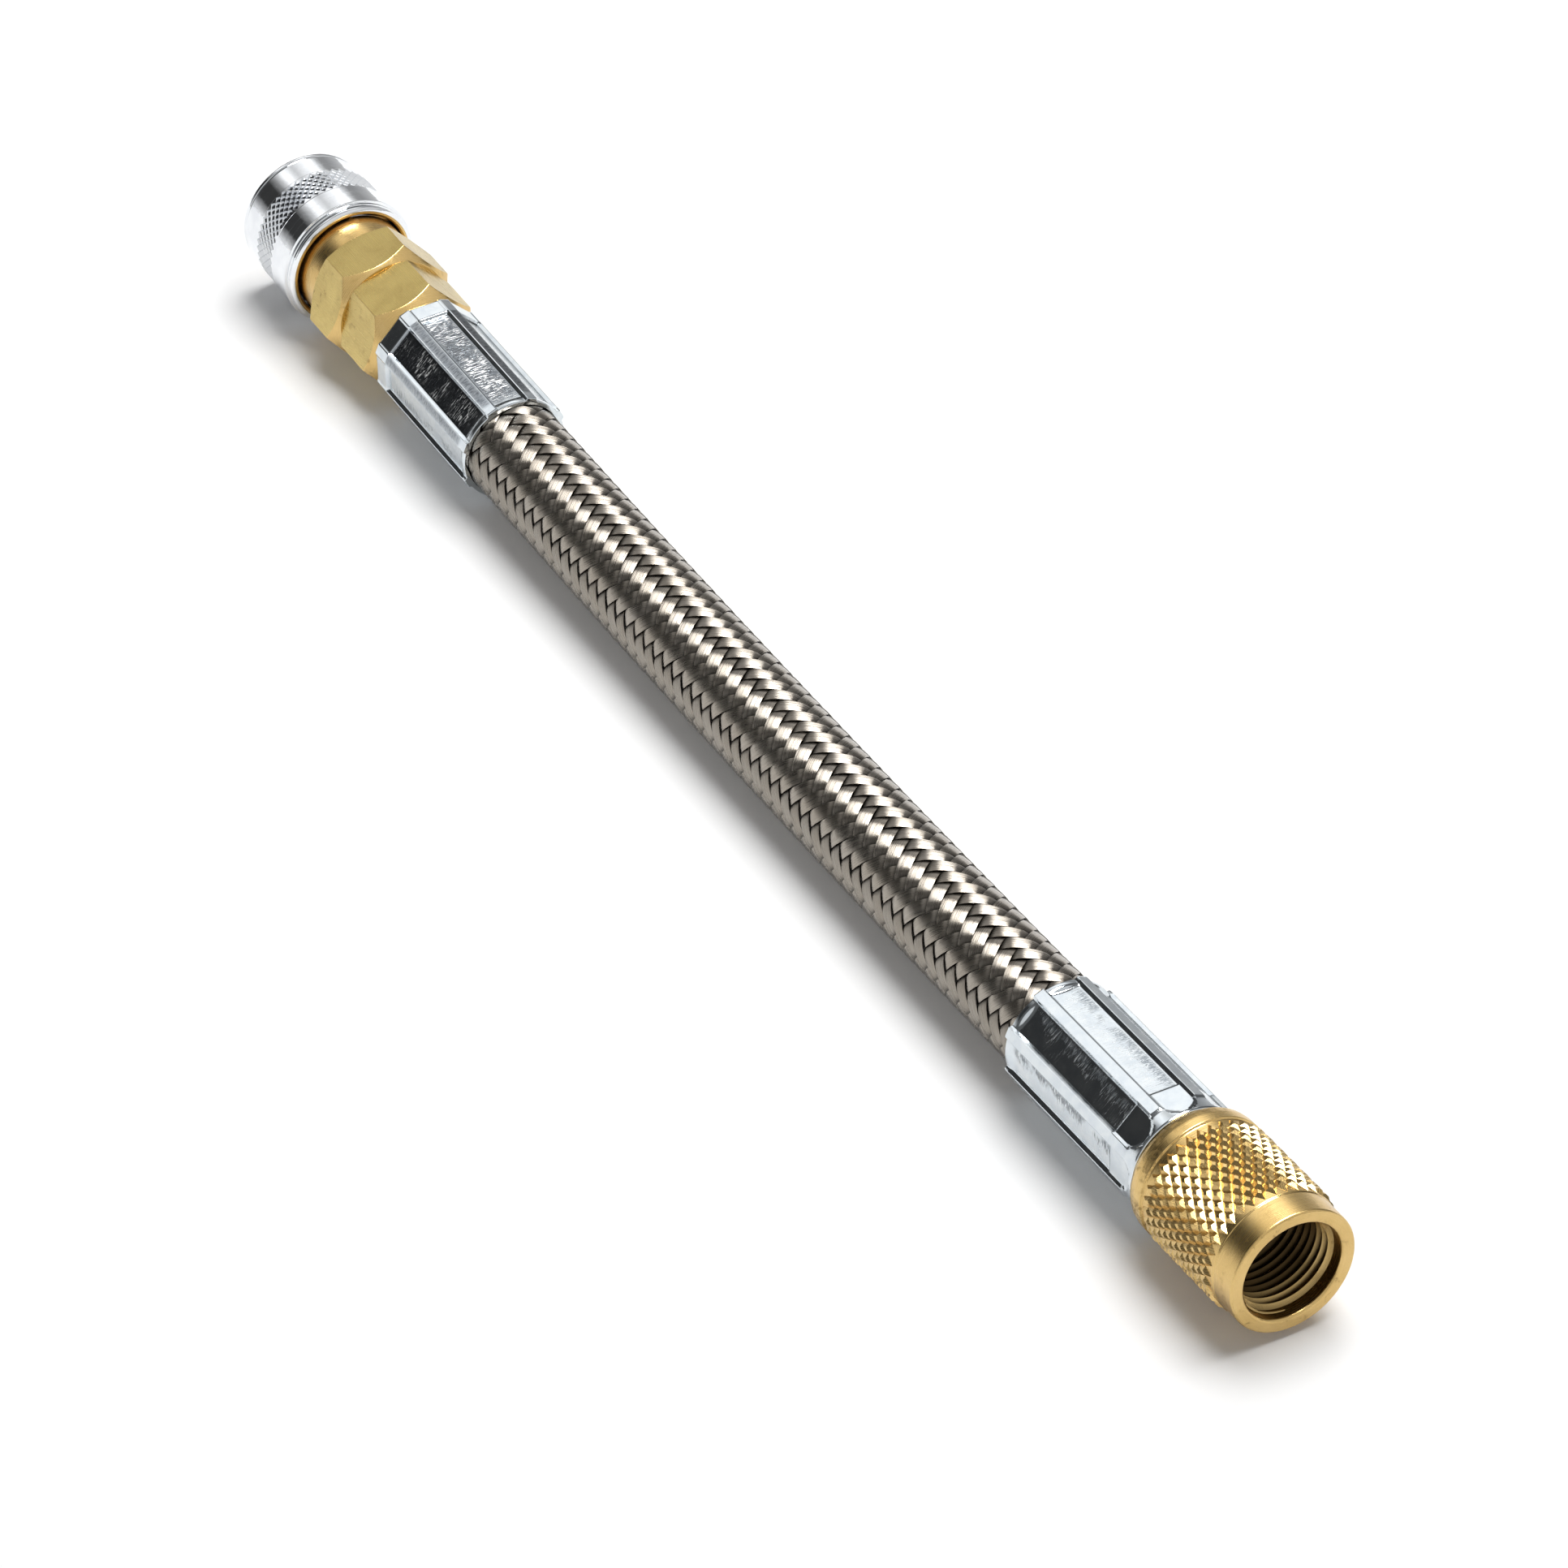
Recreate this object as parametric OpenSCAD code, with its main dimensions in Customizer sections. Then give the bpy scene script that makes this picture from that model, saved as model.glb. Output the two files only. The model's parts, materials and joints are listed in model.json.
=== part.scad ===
// Braided gas hose: a ball-lock quick coupler with a shut-off valve at one end and a knurled
// swivel nut at the other, both crimped onto a stainless braided hose that sags a little.
// Each end is drawn along its own axis, from the mouth of its ferrule outwards.

/* [Hose] */
// Bore of the inner tube
hose_bore = 9.5; // [8:0.1:10.4]
// Wall of the rubber inner tube
tube_wall = 2.65; // [2:0.05:3]
// Thickness of the braided jacket
braid_wall = 0.9; // [0.6:0.05:1.2]
// Length of hose that shows between the two ferrules
hose_free = 167; // [90:1:400]
// How far the crimp squeezes the hose inwards
crimp_squeeze = 0.6; // [0.3:0.05:0.8]
// Upward slope of the coupler end, in degrees
coupler_rise = 1.93; // [0.8:0.01:2.2]
// Upward slope of the nut end, in degrees
nut_rise = 1.8; // [0.6:0.01:2]

/* [Ferrules] */
// Wall of a ferrule over the hose
ferrule_wall = 0.95; // [0.7:0.05:1.2]
// Length of the ferrule at the coupler
ferrule_a_len = 31; // [26:0.5:36]
// Length of the ferrule at the nut
ferrule_b_len = 34.5; // [30:0.5:40]
// Length of the round, uncrimped collar beside the nut
ferrule_b_collar = 6.7; // [3:0.1:9]
// Thickness of a ferrule's closed end
ferrule_end = 4; // [3:0.1:5]
// Ridges that the crimping jaws leave
crimp_ribs = 8; // [6:1:10]
// Height of a ridge above the crimped flats
rib_height = 0.95; // [0.4:0.05:1.2]
// Width of a ridge at its foot
rib_width = 2.3; // [1.4:0.1:3]
// How the coupler ferrule's ridges are turned about the hose, in degrees
crimp_turn_a = -25; // [-30:0.5:30]
// How the nut ferrule's ridges are turned about the hose, in degrees
crimp_turn_b = 22.5; // [-30:0.5:30]

/* [Hose stems] */
// Bore for the gas
stem_bore = 6.8; // [5:0.1:7.4]
// Number of barbs on each tail
barbs = 5; // [3:1:6]
// How far a stem's neck stands proud of its barbs
neck_step = 0.5; // [0.3:0.05:0.6]
// Hexagon of the coupler's stem, across flats
stem_hex_af = 18; // [17:0.5:19]
// Length of that hexagon
stem_hex_len = 11; // [8:0.5:13]
// How that hexagon is turned about the hose, in degrees
stem_hex_turn = -47; // [-60:1:60]
// Diameter of the thread that screws into the coupler
stem_thread_d = 13; // [12:0.1:13.6]
// Length of that thread
stem_thread_len = 8; // [6:0.5:8.5]

/* [Coupler body] */
// Hexagon of the coupler body, across flats
body_hex_af = 20; // [19:0.5:21]
// Length of that hexagon
body_hex_len = 9.6; // [8:0.1:11]
// How that hexagon is turned about the hose, in degrees
body_hex_turn = -44; // [-60:1:60]
// How far the round collar ahead of the hexagon stands proud of the barrel
collar_step = 1.35; // [1.2:0.05:1.5]
// Length of collar left bare when the sleeve is pulled back
collar_spare = 1; // [0.6:0.1:2]
// Bore that takes the plug
plug_bore = 12; // [11.4:0.1:12.6]
// Wall of the barrel round that bore
barrel_wall = 2.1; // [1.9:0.05:2.3]
// How much wider the land at the bore's mouth is, in radius
mouth_step = 0.3; // [0.25:0.05:0.4]
// Length of the barrel ahead of the collar
barrel_len = 17.2; // [17:0.1:18]
// Depth of the balls behind the mouth
ball_depth = 5.2; // [5:0.1:5.6]
// Depth of the plug's seal behind the mouth
seal_depth = 9.4; // [9:0.1:9.8]
// Depth of the valve's seat behind the mouth
seat_depth = 13.9; // [13.6:0.1:14.4]

/* [Locking sleeve] */
// Wall of the sleeve outside its brass guide ring
sleeve_wall = 1.25; // [1:0.05:1.6]
// Wall of the brass guide ring
guide_wall = 0.6; // [0.5:0.05:0.8]
// How far the knurled band lies below the plain rear band
knurl_step = 0.35; // [0.2:0.05:0.5]
// Length of the plain band at the rear, with its grooved rim
rear_band = 6.8; // [5:0.1:7.4]
// Length of the plain band at the front, with its rim
front_band = 5.7; // [4:0.1:7]
// How far the sleeve reaches back over the collar
sleeve_lap = 0.9; // [0.6:0.1:1.4]
// How far the sleeve reaches past its stop ring
sleeve_lip = 0.9; // [0.6:0.1:1.4]
// How far the sleeve pulls back
sleeve_travel = 4; // [3:0.1:4.2]
// Diameter of a locking ball
ball_d = 3.2; // [3:0.05:3.3]
// Number of locking balls
balls = 6; // [4:1:6]
// How far a locked ball stands into the plug bore
ball_bite = 0.9; // [0.6:0.05:1]
// Wire of the sleeve's spring
sleeve_wire = 0.9; // [0.7:0.05:1]
// Working coils of the sleeve's spring
sleeve_coils = 4; // [3:1:4]

/* [Shut-off valve] */
// Radial gap round the valve's head
valve_gap = 0.5; // [0.4:0.05:0.7]
// How far the valve's washer overlaps its seat
seat_width = 1; // [0.8:0.05:1.2]
// How far the plug pushes the valve open
valve_travel = 3; // [2:0.1:3.2]
// Wire of the valve's spring
valve_wire = 0.8; // [0.6:0.05:0.9]
// Working coils of the valve's spring
valve_coils = 4; // [3:1:4]

/* [Swivel nut] */
// Diameter over the knurl
nut_d = 21.6; // [21:0.1:22.6]
// Length of the nut
nut_len = 26.6; // [24:0.1:30]
// How far the plain neck at the mouth lies below the knurl
nut_neck_step = 0.6; // [0.3:0.05:0.9]
// Length of that neck
nut_neck_len = 4.4; // [3:0.1:6]
// Length of the plain rounded band at the back
nut_back_len = 3.8; // [3:0.1:5]
// Minor diameter of the 5/8-18 thread
nut_thread_d = 14.56; // [14:0.02:15]
// Length of full thread
nut_thread_len = 14; // [10:0.5:14.4]
// Depth of the countersink at the mouth
nut_chamfer = 1.02; // [0.7:0.02:1.2]
// Thickness of the nut's back wall
nut_back_wall = 5.5; // [4:0.1:6.5]
// How far the stem's flange stands proud of the journal that the nut turns on
flange_step = 0.78; // [0.6:0.02:0.9]

/* [Fits] */
// Radial clearance of parts that slide or turn in each other
run_gap = 0.3; // [0.2:0.05:0.35]
// Gap between end faces that meet when a part is at its stop
stop_gap = 0.1; // [0.05:0.05:0.2]
// Radial clearance of threads that hold the body together
thread_gap = 0.1; // [0.05:0.05:0.15]

/* [Hidden] */
round_fn = 96;
$fn = round_fn;
slack = 1;          // how far a cutter runs past the solid that it cuts
brass = "#c9a24b";
steel = "#c9ced3";
zinc = "#a9b3bb";
rubber = "#26282a";

// Hose radii, free and under the crimp
bore_r = hose_bore / 2;
tube_r = bore_r + tube_wall;
hose_r = tube_r + braid_wall;
crimp_r = hose_r - crimp_squeeze;
crimp_tube_r = tube_r - crimp_squeeze;
barb_r = bore_r + 0.35;
mouth_gap = 0.05;
flare = 2.5;        // length over which the hose narrows inside a ferrule's mouth
joint_lap = 0.3;    // how far the straight ends of the hose reach into its sagging stretch
joint_inset = 0.02; // how far they stay inside its surface there
tail_start = 1.5;
end_air = 0.5;      // between the end of the hose and the closed end of its ferrule
neck_r = barb_r + neck_step;
flat_r = crimp_r + ferrule_wall;
rib_r = flat_r + rib_height;
hose_in_a = ferrule_a_len - ferrule_end - end_air;
hose_in_b = ferrule_b_len - ferrule_end - end_air;

// Sag of the free hose, as one arc, and what stands on the ground
hose_turn = coupler_rise + nut_rise;
arc_r = hose_free / (hose_turn * PI / 180);
arc_fn = round(40 * 360 / hose_turn);

// Stations of the coupler, along its axis from its ferrule's mouth
stem_hex_z = ferrule_a_len + 0.6;
body_z = stem_hex_z + stem_hex_len;
collar_z = body_z + body_hex_len;
collar_front = collar_z + collar_spare + sleeve_travel + sleeve_lap;
barrel_front = collar_front + barrel_len;
stem_front = body_z + stem_thread_len;
barrel_seat = stem_front + 1;       // front of the web behind the gasket
gasket_t = 0.8;
barrel_back = barrel_seat + gasket_t;
ball_z = barrel_front - ball_depth;
ring_t = 0.8;
ring_z = ball_z + 3.9;
seal_z = barrel_front - seal_depth;
seat_z = barrel_front - seat_depth; // rear face of the web that the valve seals on
web_t = 2;
sleeve_back = collar_front - sleeve_lap;
sleeve_front = ring_z + ring_t + sleeve_lip;
web_back = ball_z - 2.7;
web_front = ring_z - stop_gap;
guide_len = 2;
rim_len = 1.75;                     // grooved rim behind the sleeve's rear band

// Radii of the coupler, out from the plug's bore
bore = plug_bore / 2;
mouth_r = bore + mouth_step;
seal_d = 1.9;
seal_r = bore + 0.25;
seal_groove_r = seal_r + seal_d / 2 + 0.02;
barrel_r = bore + barrel_wall;
barrel_tail_r = barrel_r - 0.9;
cavity_r = barrel_tail_r - 1.5;
collar_r = barrel_r + collar_step;
ball_r = ball_d / 2;
ball_hole_r = ball_r + 0.1;
ball_lock_r = bore - ball_bite + ball_r;
ball_out = ball_bite + 0.05;
cam_slope = ball_out / sleeve_travel;
cam_gap = 0.15;
land_r = barrel_r + 0.25;
ring_in_r = barrel_r - 0.6;
ring_out_r = land_r + 1.4;
recess_r = ring_out_r + run_gap;
spring_room_r = collar_r + 0.75;
guide_in_r = collar_r + 0.45;
guide_out_r = guide_in_r + guide_wall;
sleeve_r = guide_out_r + sleeve_wall;
knurl_r = sleeve_r - knurl_step;

// The shut-off valve
washer_t = 1.3;
head_t = 1.5;
head_r = cavity_r - valve_gap;
hole_r = head_r - seat_width;
nose_r = hole_r - 1.4;
tail_r = nose_r + 0.4;
washer_front = seat_z - stop_gap;
head_front = washer_front - washer_t;
head_back = head_front - head_t;
nose_front = seat_z + 5.9;
tail_back = stem_front + valve_travel + 1.3;

// Stations of the nut end, along its axis from its ferrule's mouth
nut_back = ferrule_b_len + 0.5;
nut_front = nut_back + nut_len;
nut_r = nut_d / 2;
nut_neck_r = nut_r - nut_neck_step;
minor_r = nut_thread_d / 2;
nut_cavity_r = minor_r + 0.7;
nut_wall_front = nut_back + nut_back_wall;
flange_back = nut_wall_front + run_gap;
flange_front = flange_back + 2.8;
flange_r = minor_r - run_gap;
journal_r = flange_r - flange_step;
thread_front = nut_front - nut_chamfer;
thread_back = thread_front - nut_thread_len;

// The ground touches the sleeve's rear band, the nut's knurl and the middle of the hose, and the
// frame's origin is below the middle
coupler_low = arc_r * (1 - cos(coupler_rise)) + (sleeve_back + rim_len) * sin(coupler_rise)
    - sleeve_r * cos(coupler_rise);
nut_low = arc_r * (1 - cos(nut_rise)) + (nut_back + nut_back_len) * sin(nut_rise)
    - nut_r * cos(nut_rise);
lift = -min(coupler_low, nut_low, -hose_r);
reach_a = arc_r * sin(coupler_rise) + sleeve_front * cos(coupler_rise)
    + (knurl_r - 0.5) * sin(coupler_rise);
reach_b = arc_r * sin(nut_rise) + nut_front * cos(nut_rise)
    + (nut_neck_r - 0.2) * sin(nut_rise);
shift = (reach_a - reach_b) / 2;

// Places what is drawn along +Z at an end of the free hose; at the coupler local +X points up,
// and at the nut it points down.
module at_coupler() {
    translate([shift - arc_r * sin(coupler_rise), 0, lift + arc_r * (1 - cos(coupler_rise))])
        rotate([0, coupler_rise - 90, 0]) children();
}

module at_nut() {
    translate([shift + arc_r * sin(nut_rise), 0, lift + arc_r * (1 - cos(nut_rise))])
        rotate([0, 90 - nut_rise, 0]) children();
}

// A solid of revolution from radius and height pairs
module turned(points) {
    rotate_extrude() polygon(points);
}

// A disc bored through: outside radius, bore radius, from, to
module ring(r_out, r_in, z0, z1) {
    translate([0, 0, z0]) difference() {
        cylinder(r = r_out, h = z1 - z0);
        translate([0, 0, -slack]) cylinder(r = r_in, h = z1 - z0 + 2 * slack);
    }
}

// The sagging stretch of the hose, between two radii
module sagging(r_out, r_in) {
    translate([shift, 0, lift + arc_r]) rotate([90, 0, 0]) rotate([0, 0, -90 - coupler_rise])
        rotate_extrude(angle = hose_turn, $fn = arc_fn) translate([arc_r, 0]) difference() {
            circle(r = r_out, $fn = round_fn);
            circle(r = r_in, $fn = round_fn);
        }
}

module inner_tube() {
    color(rubber) union() {
        sagging(tube_r, bore_r);
        at_coupler() tube_tail(hose_in_a);
        at_nut() tube_tail(hose_in_b);
    }
}

// The straight stretch of the inner tube inside a ferrule: squeezed from outside behind the mouth,
// and opened by the stem's barbs. It starts just inside the sagging stretch, to join it.
module tube_tail(depth) {
    turned([[bore_r + joint_inset, -joint_lap], [tube_r - joint_inset, -joint_lap],
        [crimp_tube_r, flare], [crimp_tube_r, depth], [barb_r, depth], [barb_r, tail_start]]);
}

module braid_jacket() {
    color(steel) union() {
        sagging(hose_r, tube_r);
        at_coupler() braid_tail(hose_in_a);
        at_nut() braid_tail(hose_in_b);
    }
}

// The jacket inside a ferrule keeps to the inner tube as that narrows
module braid_tail(depth) {
    turned([[tube_r + joint_inset, -joint_lap], [hose_r - joint_inset, -joint_lap],
        [crimp_r, flare], [crimp_r, depth], [crimp_tube_r, depth], [crimp_tube_r, flare]]);
}

// A crimped ferrule: ridges over the squeezed stretch, a plain collar of a given length, and a
// closed end that bites the stem
module ferrule(len, collar, turn) {
    crimp_end = len - collar;
    closed_z = len - ferrule_end;
    color(zinc) difference() {
        union() {
            turned([[0, 0], [hose_r + mouth_gap + 0.35, 0], [flat_r + 0.2, 1.2], [flat_r, flare],
                [flat_r, len - 0.6], [flat_r - 0.6, len], [0, len]]);
            if (collar > 0)
                turned([[0, crimp_end], [flat_r, crimp_end], [rib_r - 0.2, crimp_end + 1.6],
                    [rib_r - 0.2, len - 0.8], [rib_r - 1, len], [0, len]]);
            intersection() {
                linear_extrude(crimp_end + (collar > 0 ? 1.6 : 0))
                    for (i = [0 : crimp_ribs - 1])
                        rotate(turn + i * 360 / crimp_ribs) rib_outline();
                turned([[0, 0.1], [rib_r - 0.5, 0.1], [rib_r + slack, 1.6],
                    [rib_r + slack, len - 1.6], [rib_r - 0.5, len - 0.1], [0, len - 0.1]]);
            }
        }
        turned([[0, -slack], [hose_r + mouth_gap, -slack], [hose_r + mouth_gap, 0],
            [crimp_r, flare], [crimp_r, closed_z], [neck_r, closed_z],
            [neck_r, len + slack], [0, len + slack]]);
    }
}

// Cross-section of one ridge left between two jaws
module rib_outline() {
    polygon([[flat_r - 0.5, -rib_width / 2], [flat_r + 0.15, -rib_width / 2],
        [rib_r, -rib_width / 4], [rib_r, rib_width / 4],
        [flat_r + 0.15, rib_width / 2], [flat_r - 0.5, rib_width / 2]]);
}

module coupler_ferrule() {
    at_coupler() ferrule(ferrule_a_len, 0, crimp_turn_a);
}

module nut_ferrule() {
    at_nut() ferrule(ferrule_b_len, ferrule_b_collar, crimp_turn_b);
}

// Profile of a stem's tail, from its tip to the end of the hose: saw-tooth barbs, then the foot
function tail_points(depth) = let (
    pitch = (depth - tail_start - 1) / barbs,
    root_r = bore_r - 0.25
) concat([[root_r - 0.3, tail_start]],
    [for (i = [0 : barbs - 1]) each [[root_r, tail_start + i * pitch + 0.4],
        [barb_r, tail_start + (i + 1) * pitch - 0.2], [root_r, tail_start + (i + 1) * pitch]]],
    [[root_r, depth], [neck_r, depth]]);

// A hexagon with its corners turned away at both ends
module turned_hex(af, z0, len, back_cut, front_cut) {
    corner_r = af / 2 / cos(30);
    intersection() {
        translate([0, 0, z0]) cylinder(r = corner_r, h = len, $fn = 6);
        turned([[0, z0], [corner_r - back_cut, z0], [corner_r, z0 + back_cut * 1.05],
            [corner_r, z0 + len - front_cut * 0.8], [corner_r - front_cut, z0 + len], [0, z0 + len]]);
    }
}

module coupler_stem() {
    thread_r = stem_thread_d / 2;
    color(brass) at_coupler() difference() {
        union() {
            turned(concat([[0, tail_start]], tail_points(hose_in_a),
                [[neck_r, stem_hex_z + 1], [thread_r, stem_hex_z + 1], [thread_r, stem_front - 0.8],
                [thread_r - 0.8, stem_front], [0, stem_front]]));
            rotate(stem_hex_turn) turned_hex(stem_hex_af, stem_hex_z, stem_hex_len, 2.4, 0.9);
        }
        translate([0, 0, tail_start - slack])
            cylinder(r = stem_bore / 2, h = stem_front - tail_start + 2 * slack);
    }
}

// The hexagon end of the coupler, into which the stem and the barrel screw
module coupler_body() {
    color(brass) at_coupler() difference() {
        union() {
            rotate(body_hex_turn) turned_hex(body_hex_af, body_z, body_hex_len, 2, 1.9);
            turned([[0, collar_z - 1.5], [collar_r, collar_z - 1.5], [collar_r, collar_front - 0.2],
                [collar_r - 0.2, collar_front], [0, collar_front]]);
        }
        translate([0, 0, body_z - slack])
            cylinder(r = stem_thread_d / 2 + thread_gap, h = stem_front - body_z + slack);
        translate([0, 0, body_z]) cylinder(r = cavity_r, h = collar_front - body_z);
        translate([0, 0, barrel_seat])
            cylinder(r = barrel_tail_r + thread_gap, h = collar_front - barrel_seat + slack);
    }
}

// The barrel: tail that screws into the body, valve seat, seal groove, ball holes and mouth.
// It is turned half a ball's place, so that no hole lies on the seam of the turned faces.
module coupler_barrel() {
    mouth_back = ball_z + ball_hole_r + 0.1;
    color(brass) at_coupler() rotate(180 / balls) difference() {
        turned([[0, barrel_back], [barrel_tail_r, barrel_back], [barrel_tail_r, collar_front + stop_gap],
            [barrel_r, collar_front + stop_gap], [barrel_r, ring_z], [ring_in_r, ring_z],
            [ring_in_r, ring_z + ring_t], [barrel_r, ring_z + ring_t], [barrel_r, barrel_front - 0.3],
            [barrel_r - 0.3, barrel_front], [0, barrel_front]]);
        translate([0, 0, barrel_back - slack]) cylinder(r = cavity_r, h = seat_z - barrel_back + slack);
        translate([0, 0, seat_z - slack]) cylinder(r = hole_r, h = web_t + 2 * slack);
        translate([0, 0, seat_z + web_t]) cylinder(r = bore, h = barrel_front - seat_z);
        translate([0, 0, seal_z - seal_d / 2 - 0.15]) cylinder(r = seal_groove_r, h = seal_d + 0.3);
        translate([0, 0, mouth_back]) cylinder(r = mouth_r, h = barrel_front - mouth_back + slack);
        turned([[0, barrel_front - 0.5], [mouth_r, barrel_front - 0.5],
            [mouth_r + 0.5 + slack, barrel_front + slack], [0, barrel_front + slack]]);
        for (i = [0 : balls - 1])
            rotate((i + 0.5) * 360 / balls) translate([bore - ball_r, 0, ball_z]) rotate([0, 90, 0])
                cylinder(r = ball_hole_r, h = barrel_r);
    }
}

module barrel_gasket() {
    color(rubber) at_coupler() ring(barrel_tail_r - 0.1, cavity_r, barrel_seat, barrel_back);
}

module plug_seal() {
    color(rubber) at_coupler() translate([0, 0, seal_z])
        rotate_extrude() translate([seal_r, 0]) circle(d = seal_d, $fn = 36);
}

// Open ring in the barrel's groove, which stops the sleeve
module stop_ring() {
    color(steel) at_coupler() difference() {
        ring(ring_out_r, ring_in_r + 0.02, ring_z + 0.02, ring_z + ring_t - 0.02);
        translate([0, -1.2, ring_z - slack]) cube([ring_out_r + slack, 2.4, ring_t + 2 * slack]);
    }
}

module valve_poppet() {
    color(brass) at_coupler() turned([[0, tail_back], [tail_r - 0.5, tail_back], [tail_r, tail_back + 0.5],
        [tail_r, head_back], [head_r, head_back], [head_r, head_front], [nose_r, head_front],
        [nose_r, nose_front - 0.8], [nose_r - 0.8, nose_front], [0, nose_front]]);
}

module valve_washer() {
    color(rubber) at_coupler() ring(head_r - 0.1, nose_r, head_front, washer_front);
}

// An open coil spring between two faces, round a given radius, as one unbroken tube of six sides,
// eight rings a turn
module coil_spring(inside, wire, z0, z1, coils) {
    sides = 6;
    turn = 8;
    rings = turn * coils + turn / 2;
    step = 360 / turn;
    low = z0 + wire / 2;
    rise = (z1 - z0 - wire) / rings;
    wire_r = wire / 2 / cos(180 / sides);
    r = (inside + wire_r) / cos(step / 2);
    centres = [for (k = [0 : rings]) [r * cos(step * k), r * sin(step * k), low + rise * k]];
    points = [for (k = [0 : rings], j = [0 : sides - 1]) let (side = (j + 0.5) * 360 / sides)
        centres[k] + wire_r * [cos(side) * cos(step * k), cos(side) * sin(step * k), sin(side)]];
    walls = [for (k = [0 : rings - 1], j = [0 : sides - 1])
        let (p = k * sides + j, n = k * sides + (j + 1) % sides)
        each [[p, p + sides, n], [n, p + sides, n + sides]]];
    caps = [[for (j = [0 : sides - 1]) j], [for (j = [sides - 1 : -1 : 0]) rings * sides + j]];
    echo(spring_lead = turn * rise, least_gap = min([for (k = [0 : rings - turn / 2])
        for (m = [k + turn / 2 : rings]) norm(centres[k] - centres[m])]) - wire);
    polyhedron(points, concat(walls, caps));
}

module valve_spring() {
    color(steel) at_coupler()
        coil_spring(tail_r + 0.5, valve_wire, stem_front + 0.05, head_back - 0.05, valve_coils);
}

module sleeve_spring() {
    color(steel) at_coupler()
        coil_spring(barrel_r + 0.15, sleeve_wire, collar_front + 0.05, web_back - 0.05, sleeve_coils);
}

// Outline of the sleeve: grooved rear rim, plain band, knurled band, plain band, front rim; inside,
// a room for the spring, a web with the cam that lets the balls out, and a recess for the stop ring
module lock_sleeve() {
    b = sleeve_back;
    f = sleeve_front;
    cam_r = ball_lock_r + ball_r + cam_gap;
    cam_start = ball_z - (cam_r - land_r) / cam_slope;
    color(steel) at_coupler() turned([
        [guide_out_r, b], [sleeve_r - 1.1, b], [sleeve_r - 0.5, b + 0.25], [sleeve_r - 0.5, b + 0.7],
        [sleeve_r - 0.85, b + 0.85], [sleeve_r - 0.85, b + 1.05], [sleeve_r - 0.4, b + 1.15],
        [sleeve_r - 0.4, b + 1.35], [sleeve_r - 0.75, b + 1.45], [sleeve_r - 0.75, b + 1.6],
        [sleeve_r, b + rim_len], [sleeve_r, b + rear_band - 0.3], [sleeve_r - 0.25, b + rear_band],
        [knurl_r, b + rear_band + 0.05], [knurl_r, f - front_band], [knurl_r - 0.15, f - front_band + 0.1],
        [knurl_r - 0.15, f - 1.45], [knurl_r - 0.45, f - 1.35], [knurl_r - 0.45, f - 1.15],
        [knurl_r - 0.2, f - 1.05], [knurl_r - 0.2, f - 0.5], [knurl_r - 0.5, f - 0.1],
        [knurl_r - 0.7, f], [recess_r + 0.2, f], [recess_r, f - 0.3], [recess_r, web_front],
        [cam_r + cam_slope * (web_front - ball_z), web_front], [land_r, cam_start], [land_r, web_back],
        [spring_room_r, web_back], [spring_room_r, b + guide_len], [guide_out_r, b + guide_len]]);
}

module sleeve_guide_ring() {
    color(brass) at_coupler() turned([[guide_in_r, sleeve_back + 0.3], [guide_in_r + 0.3, sleeve_back],
        [guide_out_r, sleeve_back], [guide_out_r, sleeve_back + guide_len], [guide_in_r, sleeve_back + guide_len]]);
}

module lock_ball(i) {
    color(steel) at_coupler() rotate((i - 1) * 360 / balls) translate([ball_lock_r, 0, ball_z])
        sphere(r = ball_r, $fn = 48);
}

module nut_stem() {
    lip_r = stem_bore / 2 + 0.6;
    lip_z = flange_front + flange_r - lip_r - 0.4;
    color(brass) at_nut() difference() {
        turned(concat([[0, tail_start]], tail_points(hose_in_b),
            [[neck_r, ferrule_b_len + stop_gap], [journal_r, ferrule_b_len + stop_gap],
            [journal_r, flange_back], [flange_r, flange_back], [flange_r, flange_front],
            [flange_r - 0.6, flange_front + 0.2], [lip_r, lip_z], [0, lip_z]]));
        translate([0, 0, tail_start - slack])
            cylinder(r = stem_bore / 2, h = lip_z - tail_start + 2 * slack);
    }
}

module swivel_nut() {
    color(brass) at_nut() difference() {
        turned([[0, nut_back], [nut_r - 1.3, nut_back], [nut_r - 0.75, nut_back + 0.35],
            [nut_r - 0.35, nut_back + 1.1], [nut_r - 0.15, nut_back + 2.2], [nut_r - 0.1, nut_back + nut_back_len],
            [nut_r, nut_back + nut_back_len + 0.1], [nut_r, nut_front - nut_neck_len - 0.3],
            [nut_r - 0.3, nut_front - nut_neck_len], [nut_neck_r, nut_front - nut_neck_len],
            [nut_neck_r, nut_front - 0.2], [nut_neck_r - 0.2, nut_front], [0, nut_front]]);
        translate([0, 0, nut_back - slack])
            cylinder(r = journal_r + run_gap, h = nut_back_wall + 2 * slack);
        translate([0, 0, nut_wall_front]) cylinder(r = nut_cavity_r, h = thread_back - nut_wall_front);
        translate([0, 0, nut_wall_front]) cylinder(r = minor_r, h = nut_len);
        turned([[0, thread_front], [minor_r, thread_front],
            [minor_r + nut_chamfer + slack, nut_front + slack], [0, nut_front + slack]]);
    }
}

inner_tube();
braid_jacket();
coupler_ferrule();
nut_ferrule();
coupler_stem();
coupler_body();
coupler_barrel();
barrel_gasket();
plug_seal();
stop_ring();
valve_poppet();
valve_washer();
valve_spring();
lock_sleeve();
sleeve_guide_ring();
sleeve_spring();
lock_ball(1);  // lock_ball_1
lock_ball(2);  // lock_ball_2
lock_ball(3);  // lock_ball_3
lock_ball(4);  // lock_ball_4
lock_ball(5);  // lock_ball_5
lock_ball(6);  // lock_ball_6
nut_stem();
swivel_nut();
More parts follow.
